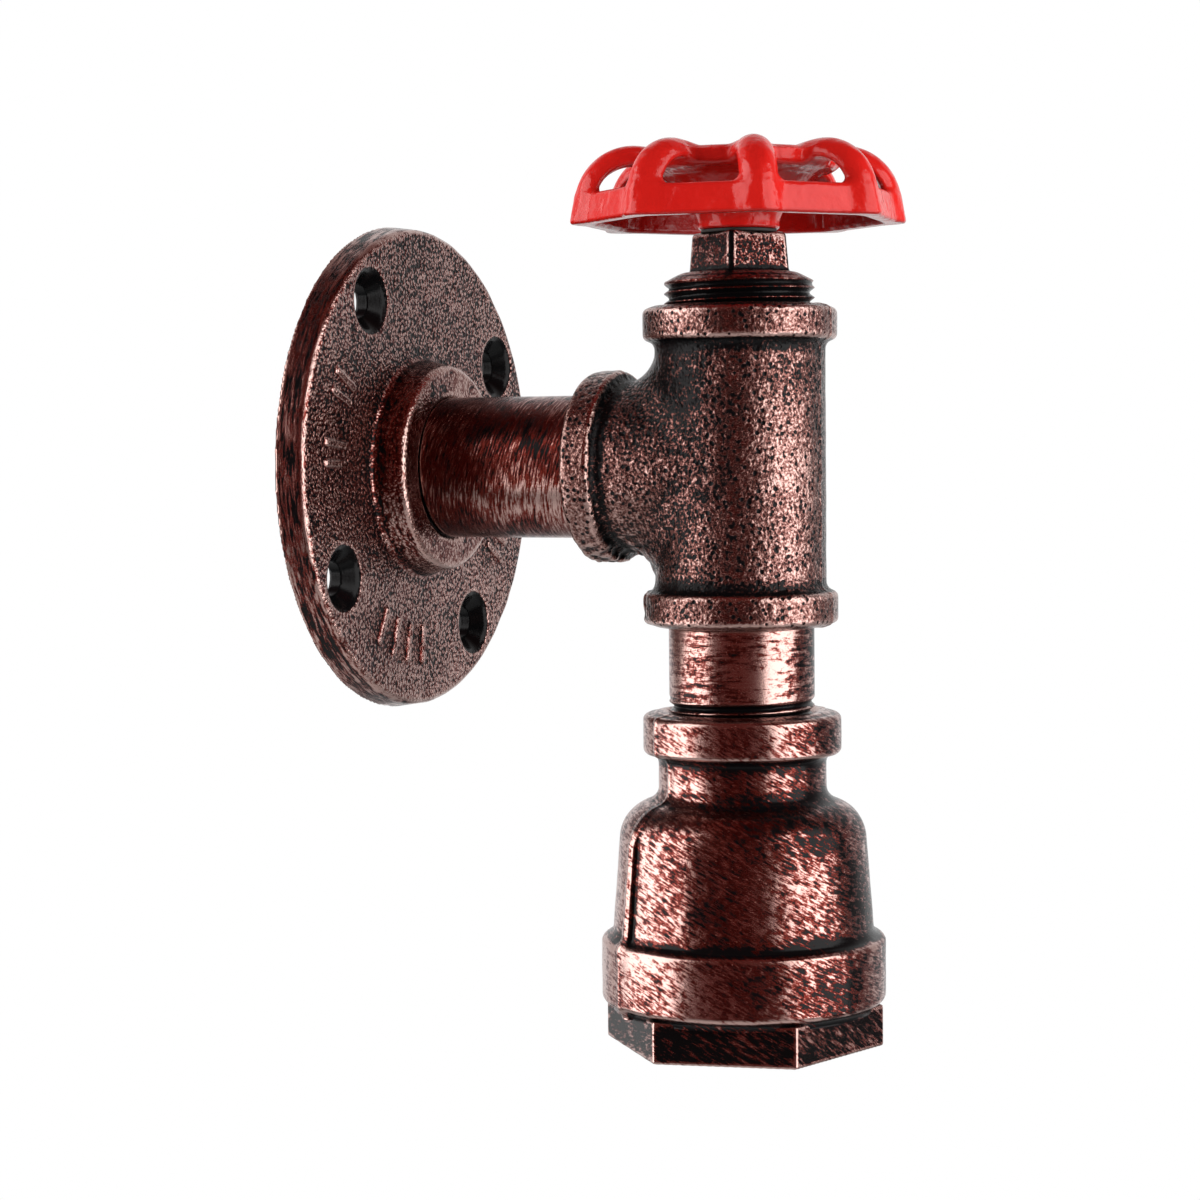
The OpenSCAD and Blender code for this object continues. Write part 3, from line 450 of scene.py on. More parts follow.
def screw_shell(x, y, z):
    """Thin shell with a rolled thread, a drawn-in neck and a lip that leaves room for a rivet."""
    y = y - LAMP_Y
    r, turn = np.hypot(x, y), np.arctan2(y, x)
    low, high = SHELL_LOW[2], SHELL_HIGH[2]
    past_thread = z - low - SHELL_THREAD_L
    wave = 0.5 - 0.5 * np.cos(2 * math.pi * (z - low) / SHELL_PITCH - turn)
    groove = SHELL_GROOVE * wave * ramp(-past_thread, 0, SHELL_PITCH)
    middle = SHELL_R - groove - np.clip(past_thread, 0, SHELL_NECK_IN)
    wall = np.maximum(SHELL_SCALE * np.abs(r - middle) - SHELL_T / 2, slab(z, low, high))
    lip = np.maximum(slab(z, high - SHELL_T, high), SHELL_LIP_R - r)
    lip = np.maximum(lip, r - SHELL_R + SHELL_NECK_IN)
    lip = np.maximum(lip, SHELL_RIVET_R - np.hypot(x - SHELL_RIVET_X, y))
    return np.minimum(wall, lip)


def wheel_ring(out, side, flat, z):
    """Leaning rim with the arches that spring from its corners, cut off level below."""
    rim_z = WHEEL_BOTTOM + RIM_LIFT
    lean_cos, lean_sin = math.cos(WHEEL_LEAN), math.sin(WHEEL_LEAN)
    sides = np.maximum(flat * lean_cos + (z - rim_z) * lean_sin, -flat - RIM_T)
    rim = rounded(sides, z - rim_z - RIM_H, RIM_EDGE)
    arch_z = WHEEL_TOP - ARCH_R
    leg = (arch_z - rim_z + (ARCH_R - ARCH_T) * lean_sin) / lean_cos
    over, up = out - WHEEL_R + ARCH_R * lean_cos + leg * lean_sin, z - arch_z
    above_leg = up * lean_cos - over * lean_sin > 0
    from_centre = np.where(above_leg, np.hypot(over, up), over * lean_cos + up * lean_sin)
    crown = np.hypot(from_centre - ARCH_R + ARCH_CROWN_R, side) - ARCH_CROWN_R
    arch = rounded(crown, ARCH_R - ARCH_T - from_centre, ARCH_EDGE)
    past_end = up * math.cos(ARCH_SWEEP) - over * math.sin(ARCH_SWEEP)
    ring = fillet(np.maximum(arch, past_end), rim, ENAMEL_FILLET)
    return rounded(ring, rim_z - z, RIM_EDGE)


def wheel_middle(r, z):
    """Disc on a coned hub with a collar."""
    disc_top = WHEEL_TOP - DISC_DROP
    disc = drum(r, z, DISC_R, disc_top - DISC_T, disc_top, DISC_EDGE)
    cone_z = WHEEL_BOTTOM + COLLAR_H
    cone_h, cone_out = disc_top - DISC_T - cone_z, CONE_R - WHEEL_HUB_R
    cone = (r - WHEEL_HUB_R) * cone_h - (z - cone_z) * cone_out
    cone = np.maximum(cone / math.hypot(cone_h, cone_out), z - disc_top + DISC_OVERLAP)
    collar = drum(r, z, WHEEL_HUB_R, WHEEL_BOTTOM, disc_top - DISC_OVERLAP, WHEEL_HUB_EDGE)
    return fillet(disc, fillet(cone, collar, CONE_FILLET), CONE_FILLET)


def handwheel(x, y, z):
    """Eight-sided wheel with a recess for its screw and a hole for the spindle."""
    y = y - LAMP_Y
    r = np.hypot(x, y)
    sector = 2 * math.pi / WHEEL_SIDES
    angle = np.mod(np.arctan2(y, x) - WHEEL_TURN + sector / 2, sector) - sector / 2
    flat = r * np.cos(np.abs(angle) - sector / 2) - (WHEEL_R - RIM_SET_IN) * math.cos(sector / 2)
    ring = wheel_ring(r * np.cos(angle), r * np.sin(angle), flat, z)
    body = fillet(wheel_middle(r, z), ring, ENAMEL_FILLET)
    recess_z = WHEEL_TOP - DISC_DROP - RECESS_DEPTH
    body = carve(body, np.maximum(r - RECESS_R, recess_z - z), RECESS_EDGE)
    return carve(body, r - SPINDLE_R)


# Brushes: at each point, "bias" is more or less copper, save that on the tee it also holds painted shade
# and on the enamel it is only painted shade; "skin" is how much of the cast grain shows and "stroke" how strong
# the brush strokes are

# Direction to the camera's left, across the picture
LEFT_SIDE = (-0.42, 0.91, 0)
FACING = 0.75
FACING_FADE = 0.2
HOLE_BIAS = -3.0
FACE_BIAS = -0.1
HUB_BIAS = 0.06
RIM_BIAS = -0.24
BACK_BIAS = -0.5
TEE_BAND_BIAS = 0.02
TEE_LEFT_DARK = 0.1
TEE_RIGHT_DARK = 0.3
# Painted shadow under the tee's top band and painted shade in its saddle, both as less copper
TEE_TOP_PAINTED_SHADOW = 0.06
SADDLE_PAINTED_SHADE = 0.22
SADDLE_MIDDLE = 9.0
SADDLE_SPREAD = 8.0
DROP_RIGHT_BIAS = -0.3
REDUCER_LEFT_BIAS = 0.26
REDUCER_MOUTH_BIAS = 0.14
REDUCER_NECK_BIAS = 0.06
BONNET_PLUG_BIAS = -0.55
BONNET_BEVEL_BIAS = -1.2


def even_brush(points, normals):
    """Copper brushed on evenly over one kind of skin."""
    return {"bias": np.zeros(len(points)), "skin": np.ones(len(points)), "stroke": np.ones(len(points))}


def flange_brush(points, normals):
    """Pebbled face, smooth rim and hub, little copper on the back and none in the screw holes."""
    x, y, z = points.T
    r, sector = np.hypot(x, z), 2 * math.pi / SCREW_HOLES
    turn = np.mod(np.arctan2(z, x) - SCREW_TURN + sector / 2, sector) - sector / 2
    from_hole = np.hypot(r * np.cos(turn) - SCREW_CIRCLE_R, r * np.sin(turn))
    in_hole = ramp(SCREW_SINK_R + 0.4 - from_hole, 0, 0.6)
    face = ramp(-normals[:, 1], FACING, FACING_FADE) * ramp(y, 2 - FLANGE_DEPTH, 1)
    back = ramp(normals[:, 1], FACING, FACING_FADE)
    hub = ramp(HUB_R + HUB_DRAFT + 1.5 - r, 0, 0.8)
    rim = ramp(r, FLANGE_R - 1.5, 0.4) * (1 - face)
    bias = HOLE_BIAS * in_hole + FACE_BIAS * face * z / FLANGE_R + HUB_BIAS * hub + RIM_BIAS * rim
    bias = bias + BACK_BIAS * back
    skin = np.maximum(face, 0.5 * hub) * (1 - in_hole) * (1 - back)
    return {"bias": bias, "skin": skin, "stroke": 1 - 0.7 * face + rim}


def tee_brush(points, normals):
    """Bands less pitted and more coppered than the barrels, which get less copper on the camera's left and far
    right, painted shadow under the top band and painted shade in the saddle.
    """
    x, y, z = points.T
    along = y - LAMP_Y
    band = ramp(np.maximum(np.abs(z), along), TEE_REACH - TEE_BAND_W, 0.6)
    saddle = np.exp(-(((along - SADDLE_MIDDLE) / SADDLE_SPREAD) ** 2)) * ramp(z, 1, 9)
    left = normals @ LEFT_SIDE
    far_right = ramp(-left, 0.75, 0.25)
    # Less copper on the camera's left and far right; painted shadow under the top band and painted shade in the
    # saddle
    dark = TEE_LEFT_DARK * left + TEE_RIGHT_DARK * far_right
    dark = dark + TEE_TOP_PAINTED_SHADOW * ramp(z, 6, 10) + SADDLE_PAINTED_SHADE * saddle
    bias = TEE_BAND_BIAS * band - dark * (1 - band)
    return {**even_brush(points, normals), "bias": bias, "skin": 1 - 0.2 * band}


def drop_brush(points, normals):
    """Less copper on the side facing the camera's right."""
    right = ramp(-normals @ LEFT_SIDE, 0.5, 0.25)
    return {**even_brush(points, normals), "bias": DROP_RIGHT_BIAS * right}


def reducer_brush(points, normals):
    """More copper on the left than on the right, and most on the neck and the mouth's band."""
    z = points[:, 2]
    mouth = ramp(REDUCER_BOTTOM + MOUTH_BAND_W - z, 0, 0.6)
    neck = ramp(z, REDUCER_TOP - REDUCER_NECK_L, 1.5)
    bias = REDUCER_LEFT_BIAS * normals @ LEFT_SIDE
    bias = bias + REDUCER_MOUTH_BIAS * mouth + REDUCER_NECK_BIAS * neck
    return {**even_brush(points, normals), "bias": bias}


def bonnet_brush(points, normals):
    """Pitted head with bare corners, over a plain dark thread."""
    x, y, z = points.T
    plug = ramp(BONNET_HIGH[2] - BONNET_HEAD_H - 0.5 - z, 0, 1)
    quarter = math.pi / 2
    from_corner = np.arctan2(y - LAMP_Y, x) - BONNET_TURN
    from_corner = np.abs(np.mod(from_corner + quarter / 2, quarter) - quarter / 2)
    bevel = ramp(2 - from_corner * BONNET_SQUARE * 2, 0, 1) * (1 - plug)
    bias = BONNET_PLUG_BIAS * plug + BONNET_BEVEL_BIAS * bevel
    return {**even_brush(points, normals), "bias": bias, "skin": 1 - 0.7 * plug}


def wheel_painted_shade(points, normals):
    """Painted shade, given as the bias, on what faces the wheel's middle or down, under its arches."""
    x, y, z = points.T
    y = y - LAMP_Y
    inward = -(normals[:, 0] * x + normals[:, 1] * y) / np.maximum(np.hypot(x, y), 1)
    under = ramp(WHEEL_TOP - ARCH_T - z, 0, 1.5)
    # Painted shade: this mask darkens the red where shade falls inside the rim and under the arches
    thin = ramp(np.maximum(inward, -normals[:, 2]), 0, 0.6) * under
    return {**even_brush(points, normals), "bias": thin}


# Meshes from fields

MARGIN = 3
BAND = 4
PULLS = 4
LEAST_SLOPE = 0.2
BEND_STEP = 0.8
SHELTER_REACH = 3.5


def sample(field, points):
    """The field's value at each point."""
    return field(*points.T)


def gradient(field, points, step=0.04):
    """Direction in which the field rises at each point."""
    sides = [sample(field, points + step * axis) - sample(field, points - step * axis) for axis in np.eye(3)]
    return np.stack(sides, axis=1) / (2 * step)


def bending(field, points, step):
    """How sharply the surface turns there: above 0 on an outer edge, below 0 in a hollow."""
    around = sum(sample(field, points + step * side) for axis in np.eye(3) for side in (axis, -axis))
    return (around - 6 * sample(field, points)) / step**2


def field_surface(field, low, high, voxel):
    """Points, normals and faces of the surface where a field is 0, with each point pulled onto it."""
    axes = [np.arange(a - MARGIN * voxel, b + MARGIN * voxel, voxel) for a, b in zip(low, high)]
    values = field(*np.meshgrid(*axes, indexing="ij"))
    grid = openvdb.FloatGrid(background=BAND * voxel)
    grid.copyFromArray(np.clip(values, -BAND * voxel, BAND * voxel).astype(np.float32))
    points, quads = grid.convertToQuads(isovalue=0)
    points = np.array(points, float) * voxel + [axis[0] for axis in axes]
    for _ in range(PULLS):
        slope = gradient(field, points)
        move = sample(field, points) / np.maximum((slope**2).sum(axis=1), LEAST_SLOPE)
        points -= slope * np.clip(move, -voxel / 2, voxel / 2)[:, None]
    normals = gradient(field, points)
    normals /= np.maximum(np.linalg.norm(normals, axis=1), 1e-6)[:, None]
    first = points[quads]
    facing = np.cross(first[:, 2] - first[:, 0], first[:, 3] - first[:, 1])
    if (facing * normals[quads[:, 0]]).sum() < 0:
        quads = quads[:, ::-1]
    return points, normals, quads


def field_mesh(name, field, low, high, voxel, brush):
    """Smooth mesh of a field's surface, with what its paint follows as attributes."""
    points, normals, quads = field_surface(field, low, high, voxel)
    mesh = bpy.data.meshes.new(name)
    mesh.from_pydata(points * MM, [], quads.tolist())
    turn = bending(field, points, BEND_STEP)
    levels = {
        "edge": ramp(turn, 0.25, 0.9),
        "hollow": ramp(-turn, 0.06, 0.5),
        "shelter": np.clip(1 - sample(field, points + SHELTER_REACH * normals) / SHELTER_REACH, 0, 1),
        **brush(points, normals),
    }
    for label, level in levels.items():
        mesh.attributes.new(label, "FLOAT", "POINT").data.foreach_set("value", level.astype(np.float32))
    mesh.shade_smooth()
    mesh.normals_split_custom_set_from_vertices(normals)
    return mesh


def add_piece(mesh, body, slot, material, *nodes):
    """Piece that stands for CAD nodes and moves with their body."""
    piece = bpy.data.objects.new(mesh.name, mesh)
    bpy.context.scene.collection.objects.link(piece)
    mesh.materials.append(material)
    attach(piece, body)
    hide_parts(*nodes)


# Materials


class Nodes:
    """Shader nodes of one material, added by short calls. Positions are in millimetres."""

    def __init__(self, name):
        self.material = bpy.data.materials.new(name)
        self.material.use_nodes = True
        self.tree = self.material.node_tree
        self.shader = self.tree.nodes["Principled BSDF"]
        place = self.tree.nodes.new("ShaderNodeTexCoord").outputs["Object"]
        self.place = self.vector("SCALE", place, Scale=1 / MM)

    def fill(self, socket, value):
        if isinstance(value, bpy.types.NodeSocket):
            self.tree.links.new(value, socket)
        else:
            socket.default_value = value

    def add(self, kind, output, inputs, **settings):
        node = self.tree.nodes.new(kind)
        for key, value in settings.items():
            setattr(node, key, value)
        for key, value in inputs.items():
            self.fill(node.inputs[key], value)
        return node.outputs[output]

    def vector(self, operation, a, b=None, **inputs):
        if b is not None:
            inputs[1] = b
        output = "Value" if operation == "DOT_PRODUCT" else "Vector"
        return self.add("ShaderNodeVectorMath", output, {0: a, **inputs}, operation=operation)

    def math(self, operation, *values):
        return self.add("ShaderNodeMath", "Value", dict(enumerate(values)), operation=operation)

    def sum(self, *terms):
        """Weighted sum of (weight, value) pairs."""
        total = 0.0
        for weight, value in terms:
            total = self.math("MULTIPLY_ADD", value, weight, total)
        return total

    def spread(self, middle, *terms):
        """Weighted sum of patterns about their middle level, which is 0.5."""
        return self.math("ADD", self.sum(*terms), middle - 0.5 * sum(weight for weight, _ in terms))

    def step(self, value, low, high, to_low=0.0, to_high=1.0):
        inputs = {"Value": value, "From Min": low, "From Max": high, "To Min": to_low, "To Max": to_high}
        return self.add("ShaderNodeMapRange", "Result", inputs, interpolation_type="SMOOTHSTEP")

    def noise(self, place, scale, detail=2.0, roughness=0.5):
        inputs = {"Vector": place, "Scale": scale, "Detail": detail, "Roughness": roughness}
        return self.add("ShaderNodeTexNoise", "Fac", inputs)

    def squeezed(self, axis, amount):
        """Positions pressed together along an axis, so that a pattern there runs out across it."""
        axis = Vector(axis).normalized()
        along = self.vector("DOT_PRODUCT", self.place, tuple(axis))
        shift = self.vector("SCALE", tuple(axis * (amount - 1)), Scale=along)
        return self.vector("ADD", self.place, shift)

    def attribute(self, name):
        return self.add("ShaderNodeAttribute", "Fac", {}, attribute_name=name)

    def mix(self, factor, a, b):
        inputs = {"Factor": factor, 6: a, 7: b}
        return self.add("ShaderNodeMix", 2, inputs, data_type="RGBA")

    def bump(self, height, distance):
        return self.add("ShaderNodeBump", "Normal", {"Height": height, "Distance": distance * MM})

    def set(self, **inputs):
        for key, value in inputs.items():
            self.fill(self.shader.inputs[key.replace("_", " ")], value)
        return self.material


def speckle(n, place, scale):
    """Fine grain of a drawn or turned surface, as a height from 0 to 1."""
    return n.noise(place, scale, detail=3, roughness=0.6)


def cells(n, place, scale, smoothness):
    """Distance from the middles of scattered cells, about 0 to 1."""
    inputs = {"Vector": place, "Scale": scale, "Smoothness": smoothness}
    return n.add("ShaderNodeTexVoronoi", "Distance", inputs, feature="SMOOTH_F1")


def pits(n, place, scale):
    """Grain and round pits of a sand casting, as a height from 0 to 1."""
    holes = n.step(cells(n, place, 0.4 * scale, 0.1), 0.12, 0.36)
    return n.math("MULTIPLY", speckle(n, place, scale), holes)


def pebbles(n, place, scale):
    """Pebbled skin of a casting, as a height from 0 to 1."""
    shift = n.add("ShaderNodeTexNoise", "Color", {"Vector": place, "Scale": 0.7 * scale, "Detail": 2.0})
    return n.step(cells(n, n.vector("ADD", place, shift), scale, 0.3), 0.05, 0.8, 1.0, 0.0)


# Strokes run across an axis. A grain is a texture with its size, its share in the wear, its depth and
# the depth of the broader waves under it.
Stroke = namedtuple("Stroke", "axis squeeze scale")
Grain = namedtuple("Grain", "texture size share depth waves")

BLACK_PAINT = (0.003, 0.003, 0.0033, 1)
THIN_COPPER = (0.11, 0.013, 0.008, 1)
DULL_COPPER = (0.12, 0.046, 0.038, 1)
THICK_COPPER = (0.42, 0.278, 0.248, 1)
FILM_START = -0.18
THICK_BAND = 0.38
PATCH_SCALE = 0.07
FINE_SCALE = 4.0
WAVE_SCALE = 0.75


def rubbed_copper(name, stroke, grain, cover, streak=1.0, patch=1.0, edge=0.5, hollow=0.6, shelter=1.4,
                  thin=THIN_COPPER, film=0.0):
    """Black paint with copper brushed over it: along the strokes, on high spots and most of all on edges."""
    n = Nodes("rubbed_copper_" + name)
    patches = n.noise(n.place, PATCH_SCALE, detail=3, roughness=0.6)
    streaks = n.noise(n.squeezed(stroke.axis, stroke.squeeze), stroke.scale, detail=6, roughness=0.72)
    streaks = n.math("MULTIPLY", n.math("SUBTRACT", streaks, 0.5), n.attribute("stroke"))
    relief = n.math("SUBTRACT", grain.texture(n, n.place, 1 / grain.size), 0.5)
    relief = n.math("MULTIPLY", relief, n.attribute("skin"))
    waves = n.math("MULTIPLY", n.noise(n.place, WAVE_SCALE), n.attribute("skin"))
    fine = n.noise(n.place, FINE_SCALE, detail=3, roughness=0.6)
    worn = n.sum(
        (2.8 * streak, streaks),
        (2 * grain.share, relief),
        (edge, n.attribute("edge")),
        (-hollow, n.attribute("hollow")),
        (-shelter, n.attribute("shelter")),
        (1.0, n.attribute("bias")),
    )
    rub = n.math("ADD", n.spread(cover, (1.2 * patch, patches), (0.5, fine)), worn)
    copper = n.step(rub, FILM_START, 0.0)
    thick = n.step(rub, film, film + THICK_BAND)
    height = n.sum(
        (grain.depth, relief),
        (grain.waves, waves),
        (0.02, streaks),
        (0.012, fine),
        (0.012, copper),
    )
    normal = n.bump(height, 1.0)
    return n.set(
        Base_Color=n.mix(copper, BLACK_PAINT, n.mix(thick, thin, THICK_COPPER)),
        Metallic=copper,
        Roughness=n.math("ADD", n.sum((0.05, copper), (0.12, fine)), 0.14),
        Specular_IOR_Level=0.06,
        Coat_Weight=0.06,
        Coat_Roughness=0.12,
        Normal=normal,
        Coat_Normal=normal,
    )


def red_enamel():
    """Glossy red enamel, uneven on the casting under it, with painted shade, a darker red, where the bias says
    so.
    """
    n = Nodes("red_enamel")
    shade = n.noise(n.place, 0.15)
    peel = n.noise(n.place, 0.5)
    swell = n.noise(n.place, 0.16)
    wear = n.noise(n.place, 1.6, detail=4, roughness=0.7)
    colour = n.mix(shade, (0.6, 0.01, 0.008, 1), (0.68, 0.016, 0.011, 1))
    return n.set(
        # The bias mixes in a darker red: painted shade inside the rim and under the arches
        Base_Color=n.mix(n.attribute("bias"), colour, (0.34, 0.006, 0.004, 1)),
        Roughness=n.step(wear, 0.3, 0.8, 0.16, 0.26),
        Specular_IOR_Level=0.24,
        Normal=n.bump(n.sum((0.2, peel), (0.8, swell)), 1.0),
    )


def worn_metal(name, dark, light, roughness):
    """Plated or bare metal with fine draw marks and a little tarnish."""
    n = Nodes(name)
    tarnish = n.noise(n.place, 0.4, detail=4, roughness=0.6)
    marks = n.noise(n.squeezed((0, 0, 1), 9), 2.0, detail=4, roughness=0.6)
    dullness = n.sum((0.5, tarnish), (0.5, marks))
    return n.set(
        Base_Color=n.mix(tarnish, dark, light),
        Metallic=1.0,
        Roughness=n.step(dullness, 0.3, 0.7, roughness - 0.08, roughness + 0.1),
        Normal=n.bump(marks, 0.02),
    )


def moulded(name, dark, light, roughness, depth=0.03, **shine):
    """Moulded, fibre or fired surface with a soft mottle."""
    n = Nodes(name)
    mottle = n.noise(n.place, 0.8, detail=4, roughness=0.6)
    return n.set(
        Base_Color=n.mix(mottle, dark, light),
        Roughness=n.step(mottle, 0.3, 0.7, roughness - 0.06, roughness + 0.08),
        Normal=n.bump(n.noise(n.place, 3.0), depth),
        **shine,
    )


MATERIALS = {
    "flange": rubbed_copper(
        "flange", Stroke((0, 1, 0), 7, 0.2), Grain(pebbles, 0.66, 0.5, 0.13, 0.1),
        cover=0.2, streak=0.7, patch=0.6, hollow=0.0, shelter=0.5,
    ),
    "tee": rubbed_copper(
        "tee", Stroke((0.2, 0.3, 1), 0.6, 0.6), Grain(pits, 0.55, 0.9, 0.16, 0.3),
        cover=0.05, streak=0.25, patch=0.4, hollow=0.2, shelter=1.1, thin=DULL_COPPER,
    ),
    "arm": rubbed_copper(
        "arm", Stroke((0, 1, 0.25), 8, 0.3), Grain(speckle, 0.4, 0.2, 0.03, 0.0),
        cover=0.15, streak=1.2, patch=1.6, film=0.2,
    ),
    "drop": rubbed_copper(
        "drop", Stroke((0, 0, 1), 7, 0.2), Grain(speckle, 1.0, 0.6, 0.02, 0.0),
        cover=0.14, patch=1.5,
    ),
    "reducer": rubbed_copper(
        "reducer", Stroke((0.25, -0.5, 1), 6, 0.42), Grain(speckle, 1.5, 0.8, 0.04, 0.0),
        cover=0.09, streak=1.3, patch=1.3, hollow=0.5, shelter=1.0, film=0.12,
    ),
    "bushing": rubbed_copper(
        "bushing", Stroke((0.6, -0.4, 1), 6, 0.3), Grain(speckle, 0.5, 0.2, 0.03, 0.0),
        cover=-0.32, streak=1.8, edge=1.0,
    ),
    "bonnet": rubbed_copper(
        "bonnet", Stroke((0.2, 0.3, 1), 1, 0.6), Grain(pits, 0.5, 0.9, 0.13, 0.25),
        cover=-0.02, streak=0.6, patch=0.6, edge=0.7,
    ),
    "enamel": red_enamel(),
    "zinc": worn_metal("zinc_plate", (0.5, 0.5, 0.5, 1), (0.74, 0.74, 0.72, 1), 0.34),
    "brass": worn_metal("contact_brass", (0.5, 0.33, 0.12, 1), (0.78, 0.58, 0.26, 1), 0.3),
    "shell": worn_metal("nickelled_shell", (0.52, 0.46, 0.34, 1), (0.74, 0.68, 0.54, 1), 0.26),
    "tin": worn_metal("tinned_copper", (0.56, 0.5, 0.44, 1), (0.78, 0.74, 0.68, 1), 0.36),
    "porcelain": moulded(
        "white_porcelain", (0.74, 0.72, 0.66, 1), (0.84, 0.82, 0.77, 1), 0.2, 0.02, Coat_Weight=0.5
    ),
    "black": moulded("black_moulding", (0.014, 0.014, 0.015, 1), (0.03, 0.03, 0.03, 1), 0.42),
    "white": moulded("white_moulding", (0.66, 0.65, 0.62, 1), (0.78, 0.77, 0.74, 1), 0.4),
    "fibre": moulded("black_fibre", (0.016, 0.015, 0.014, 1), (0.04, 0.037, 0.034, 1), 0.7, 0.05),
    "black_lead": moulded("black_insulation", (0.012, 0.012, 0.013, 1), (0.028, 0.028, 0.028, 1), 0.5),
    "red_lead": moulded("red_insulation", (0.3, 0.02, 0.015, 1), (0.4, 0.035, 0.025, 1), 0.5),
    "white_lead": moulded("white_insulation", (0.6, 0.6, 0.58, 1), (0.74, 0.74, 0.72, 1), 0.5),
}

# Brushes by material, the enamel's only painted shade; the others are brushed evenly
BRUSHES = {
    "flange": flange_brush,
    "tee": tee_brush,
    "drop": drop_brush,
    "reducer": reducer_brush,
    "bonnet": bonnet_brush,
    "enamel": wheel_painted_shade,
}

# Pieces made from fields: name, field, CAD node, body, material slot, material, voxel
FIELD_PIECES = [
    ("flange_casting", wall_flange, "wall_flange", "base", "rubbed_copper_casting", "flange", 0.42),
    ("arm_pipe", arm_nipple, "arm_nipple", "base", "rubbed_copper_pipe", "arm", 0.36),
    ("tee_casting", tee, "tee", "base", "rubbed_copper_casting", "tee", 0.44),
    ("drop_pipe", drop_nipple, "drop_nipple", "base", "rubbed_copper_pipe", "drop", 0.34),
    ("reducer_casting", reducer, "reducer", "base", "rubbed_copper_casting", "reducer", 0.47),
    ("bushing_hexagon", hex_bushing, "hex_bushing", "base", "rubbed_copper_casting", "bushing", 0.34),
    ("bonnet_plug", bonnet, "bonnet", "base", "rubbed_copper_casting", "bonnet", 0.24),
    ("rolled_shell", screw_shell, "screw_shell", "base", "nickelled_shell", "shell", 0.28),
    ("enamelled_wheel", handwheel, "handwheel", "wheel", "red_enamel", "enamel", 0.33),
]
for name, field, node, body, slot, finish, voxel in FIELD_PIECES:
    low, high = corners(node)
    mesh = field_mesh(name, field, low, high, voxel, BRUSHES.get(finish, even_brush))
    add_piece(mesh, body, slot, MATERIALS[finish], node)

# Finish of the CAD nodes that stay
NODE_FINISHES = {
    "zinc": [
        "wheel_screw", "wheel_washer", "switch_spindle",
        "switch_nut", "switch_washer", "terminal_screws",
    ],
    "brass": [
        "switch_bush", "moving_contact", "fixed_contacts",
        "centre_contact", "contact_rivets", "lamp_terminals",
    ],
    "tin": ["tinned_ends"],
    "porcelain": ["lampholder_body"],
    "black": ["switch_housing", "switch_base"],
    "white": ["switch_rotor"],
    "fibre": ["thrust_washer"],
    "black_lead": ["live_lead"],
    "red_lead": ["switched_lead"],
    "white_lead": ["neutral_lead"],
}
for finish, nodes in NODE_FINISHES.items():
    for node in nodes:
        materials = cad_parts[node].data.materials
        materials.clear()
        materials.append(MATERIALS[finish])

# Camera at the photograph's viewing angle, in metres
CAMERA_TURN = math.radians(-65.2)
CAMERA_RISE = math.radians(3.33)
CAMERA_ROLL = math.radians(-0.55)
CAMERA_PLACE = (-0.46949, -0.25938, 0.0051)
CAMERA_NEAR = 0.01
CAMERA_FAR = 50
LENS = 82.77


def direction(angle, rise):
    """Unit vector at an angle round +Z from +X and a rise above the floor."""
    return Vector((math.cos(angle) * math.cos(rise), math.sin(angle) * math.cos(rise), math.sin(rise)))


camera = bpy.data.objects.new("camera", bpy.data.cameras.new("camera"))
bpy.context.scene.collection.objects.link(camera)
bpy.context.scene.camera = camera
camera.data.lens = LENS
camera.data.clip_start = CAMERA_NEAR
camera.data.clip_end = CAMERA_FAR
camera.location = CAMERA_PLACE
CAMERA_ANGLE = CAMERA_TURN - math.pi / 2
back = direction(CAMERA_ANGLE, CAMERA_RISE)
aim = (-back).to_track_quat("-Z", "Y") @ Quaternion((0, 0, 1), CAMERA_ROLL)
camera.rotation_euler = aim.to_euler()

# Studio, in metres: two tall soft boxes beside the camera, a pale floor and a surround, white behind the lamp
LAMP_CENTRE = Vector((0, LAMP_Y * MM, -0.02))
FLOOR_DROP = 0.8
FLOOR_Z = CAD_BOX[0].z - FLOOR_DROP
FLOOR_HALF = 1.6
FLOOR_GLOW = 0.9
AMBIENT = (0.16, 0.16, 0.16, 1)
WARM_DARK = (0.14, 0.018, 0.012, 1)
WHITE = (1, 1, 1, 1)
BACKDROP_START = 0.1
BACKDROP_FULL = 0.85


def soft_box(name, turn, rise, distance, width, height, power):
    """Area light that faces the lamp from turn degrees right of the camera and rise degrees up."""
    light = bpy.data.lights.new(name, "AREA")
    light.shape = "RECTANGLE"
    light.size = width
    light.size_y = height
    light.energy = power
    towards = direction(CAMERA_ANGLE + math.radians(turn), math.radians(rise))
    box = bpy.data.objects.new(name, light)
    box.location = LAMP_CENTRE + towards * distance
    box.rotation_euler = (-towards).to_track_quat("-Z", "Y").to_euler()
    bpy.context.scene.collection.objects.link(box)


soft_box("right_soft_box", turn=62, rise=5, distance=0.9, width=0.95, height=1.3, power=15)
soft_box("left_soft_box", turn=-85, rise=5, distance=0.9, width=0.94, height=1.3, power=15)


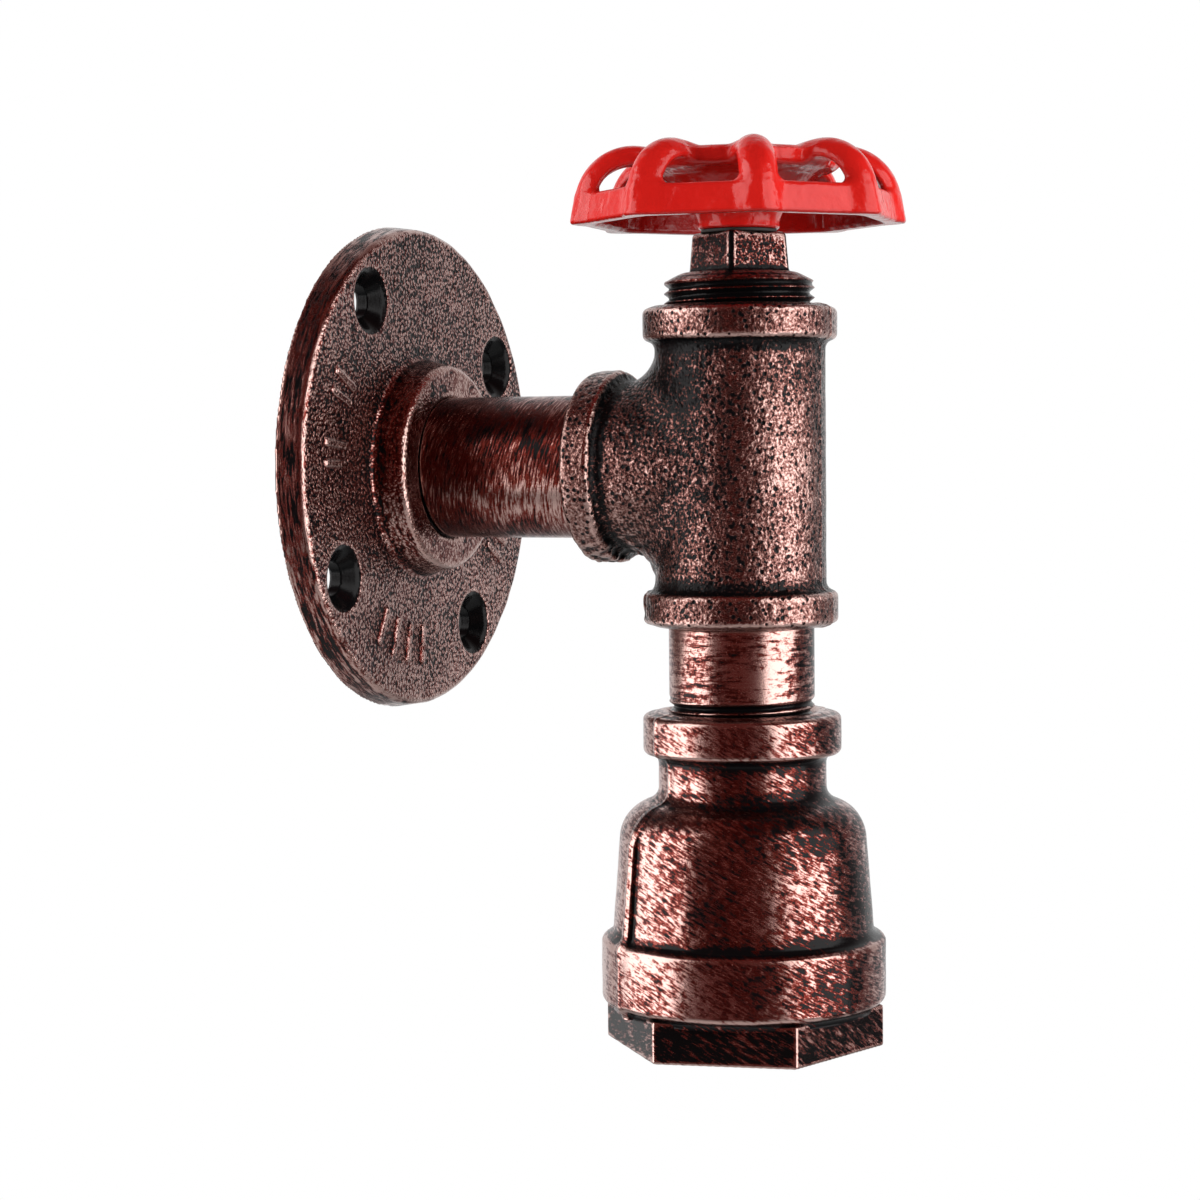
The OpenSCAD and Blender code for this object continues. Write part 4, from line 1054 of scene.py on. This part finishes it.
def surround():
    """World that is white to the camera and behind the lamp, and a warm dark at the camera's side."""
    world = bpy.data.worlds.new("surround")
    world.use_nodes = True
    bpy.context.scene.world = world
    tree = world.node_tree
    tree.nodes.clear()
    link = tree.links.new
    kinds = ("LightPath", "TexCoord", "VectorMath", "MapRange", "Background", "OutputWorld")
    path, place, facing, fade, light, output = [tree.nodes.new("ShaderNode" + kind) for kind in kinds]
    facing.operation = "DOT_PRODUCT"
    facing.inputs[1].default_value = -back
    link(place.outputs["Generated"], facing.inputs[0])
    link(facing.outputs["Value"], fade.inputs["Value"])
    fade.interpolation_type = "SMOOTHSTEP"
    fade.inputs["From Min"].default_value = BACKDROP_START
    fade.inputs["From Max"].default_value = BACKDROP_FULL
    layers = [
        (fade.outputs["Result"], WARM_DARK, WHITE),
        (path.outputs["Is Glossy Ray"], AMBIENT, None),
        (path.outputs["Is Transmission Ray"], None, WHITE),
        (path.outputs["Is Camera Ray"], None, WHITE),
    ]
    shown = None
    for factor, without, within in layers:
        mix = tree.nodes.new("ShaderNodeMix")
        mix.data_type = "RGBA"
        link(factor, mix.inputs["Factor"])
        for socket, colour in ((mix.inputs[6], without), (mix.inputs[7], within)):
            if colour is None:
                link(shown, socket)
            else:
                socket.default_value = colour
        shown = mix.outputs[2]
    link(shown, light.inputs["Color"])
    link(light.outputs["Background"], output.inputs["Surface"])


def pale_floor():
    """Floor that takes the lamp's shadow and is otherwise as white as the surround to the camera."""
    mesh = bpy.data.meshes.new("floor")
    signs = ((-1, -1), (1, -1), (1, 1), (-1, 1))
    mesh.from_pydata([(x * FLOOR_HALF, y * FLOOR_HALF, FLOOR_Z) for x, y in signs], [], [(0, 1, 2, 3)])
    floor = bpy.data.objects.new("floor", mesh)
    bpy.context.scene.collection.objects.link(floor)
    n = Nodes("pale_floor")
    path = n.tree.nodes.new("ShaderNodeLightPath").outputs
    n.set(
        Base_Color=n.mix(n.noise(n.place, 0.01), (0.86, 0.86, 0.86, 1), (0.9, 0.9, 0.9, 1)),
        Roughness=0.9,
        Emission_Color=WHITE,
        Emission_Strength=n.math("MULTIPLY", path["Is Camera Ray"], FLOOR_GLOW),
    )
    mesh.materials.append(n.material)


surround()
pale_floor()
bpy.context.scene.view_settings.view_transform = "Standard"
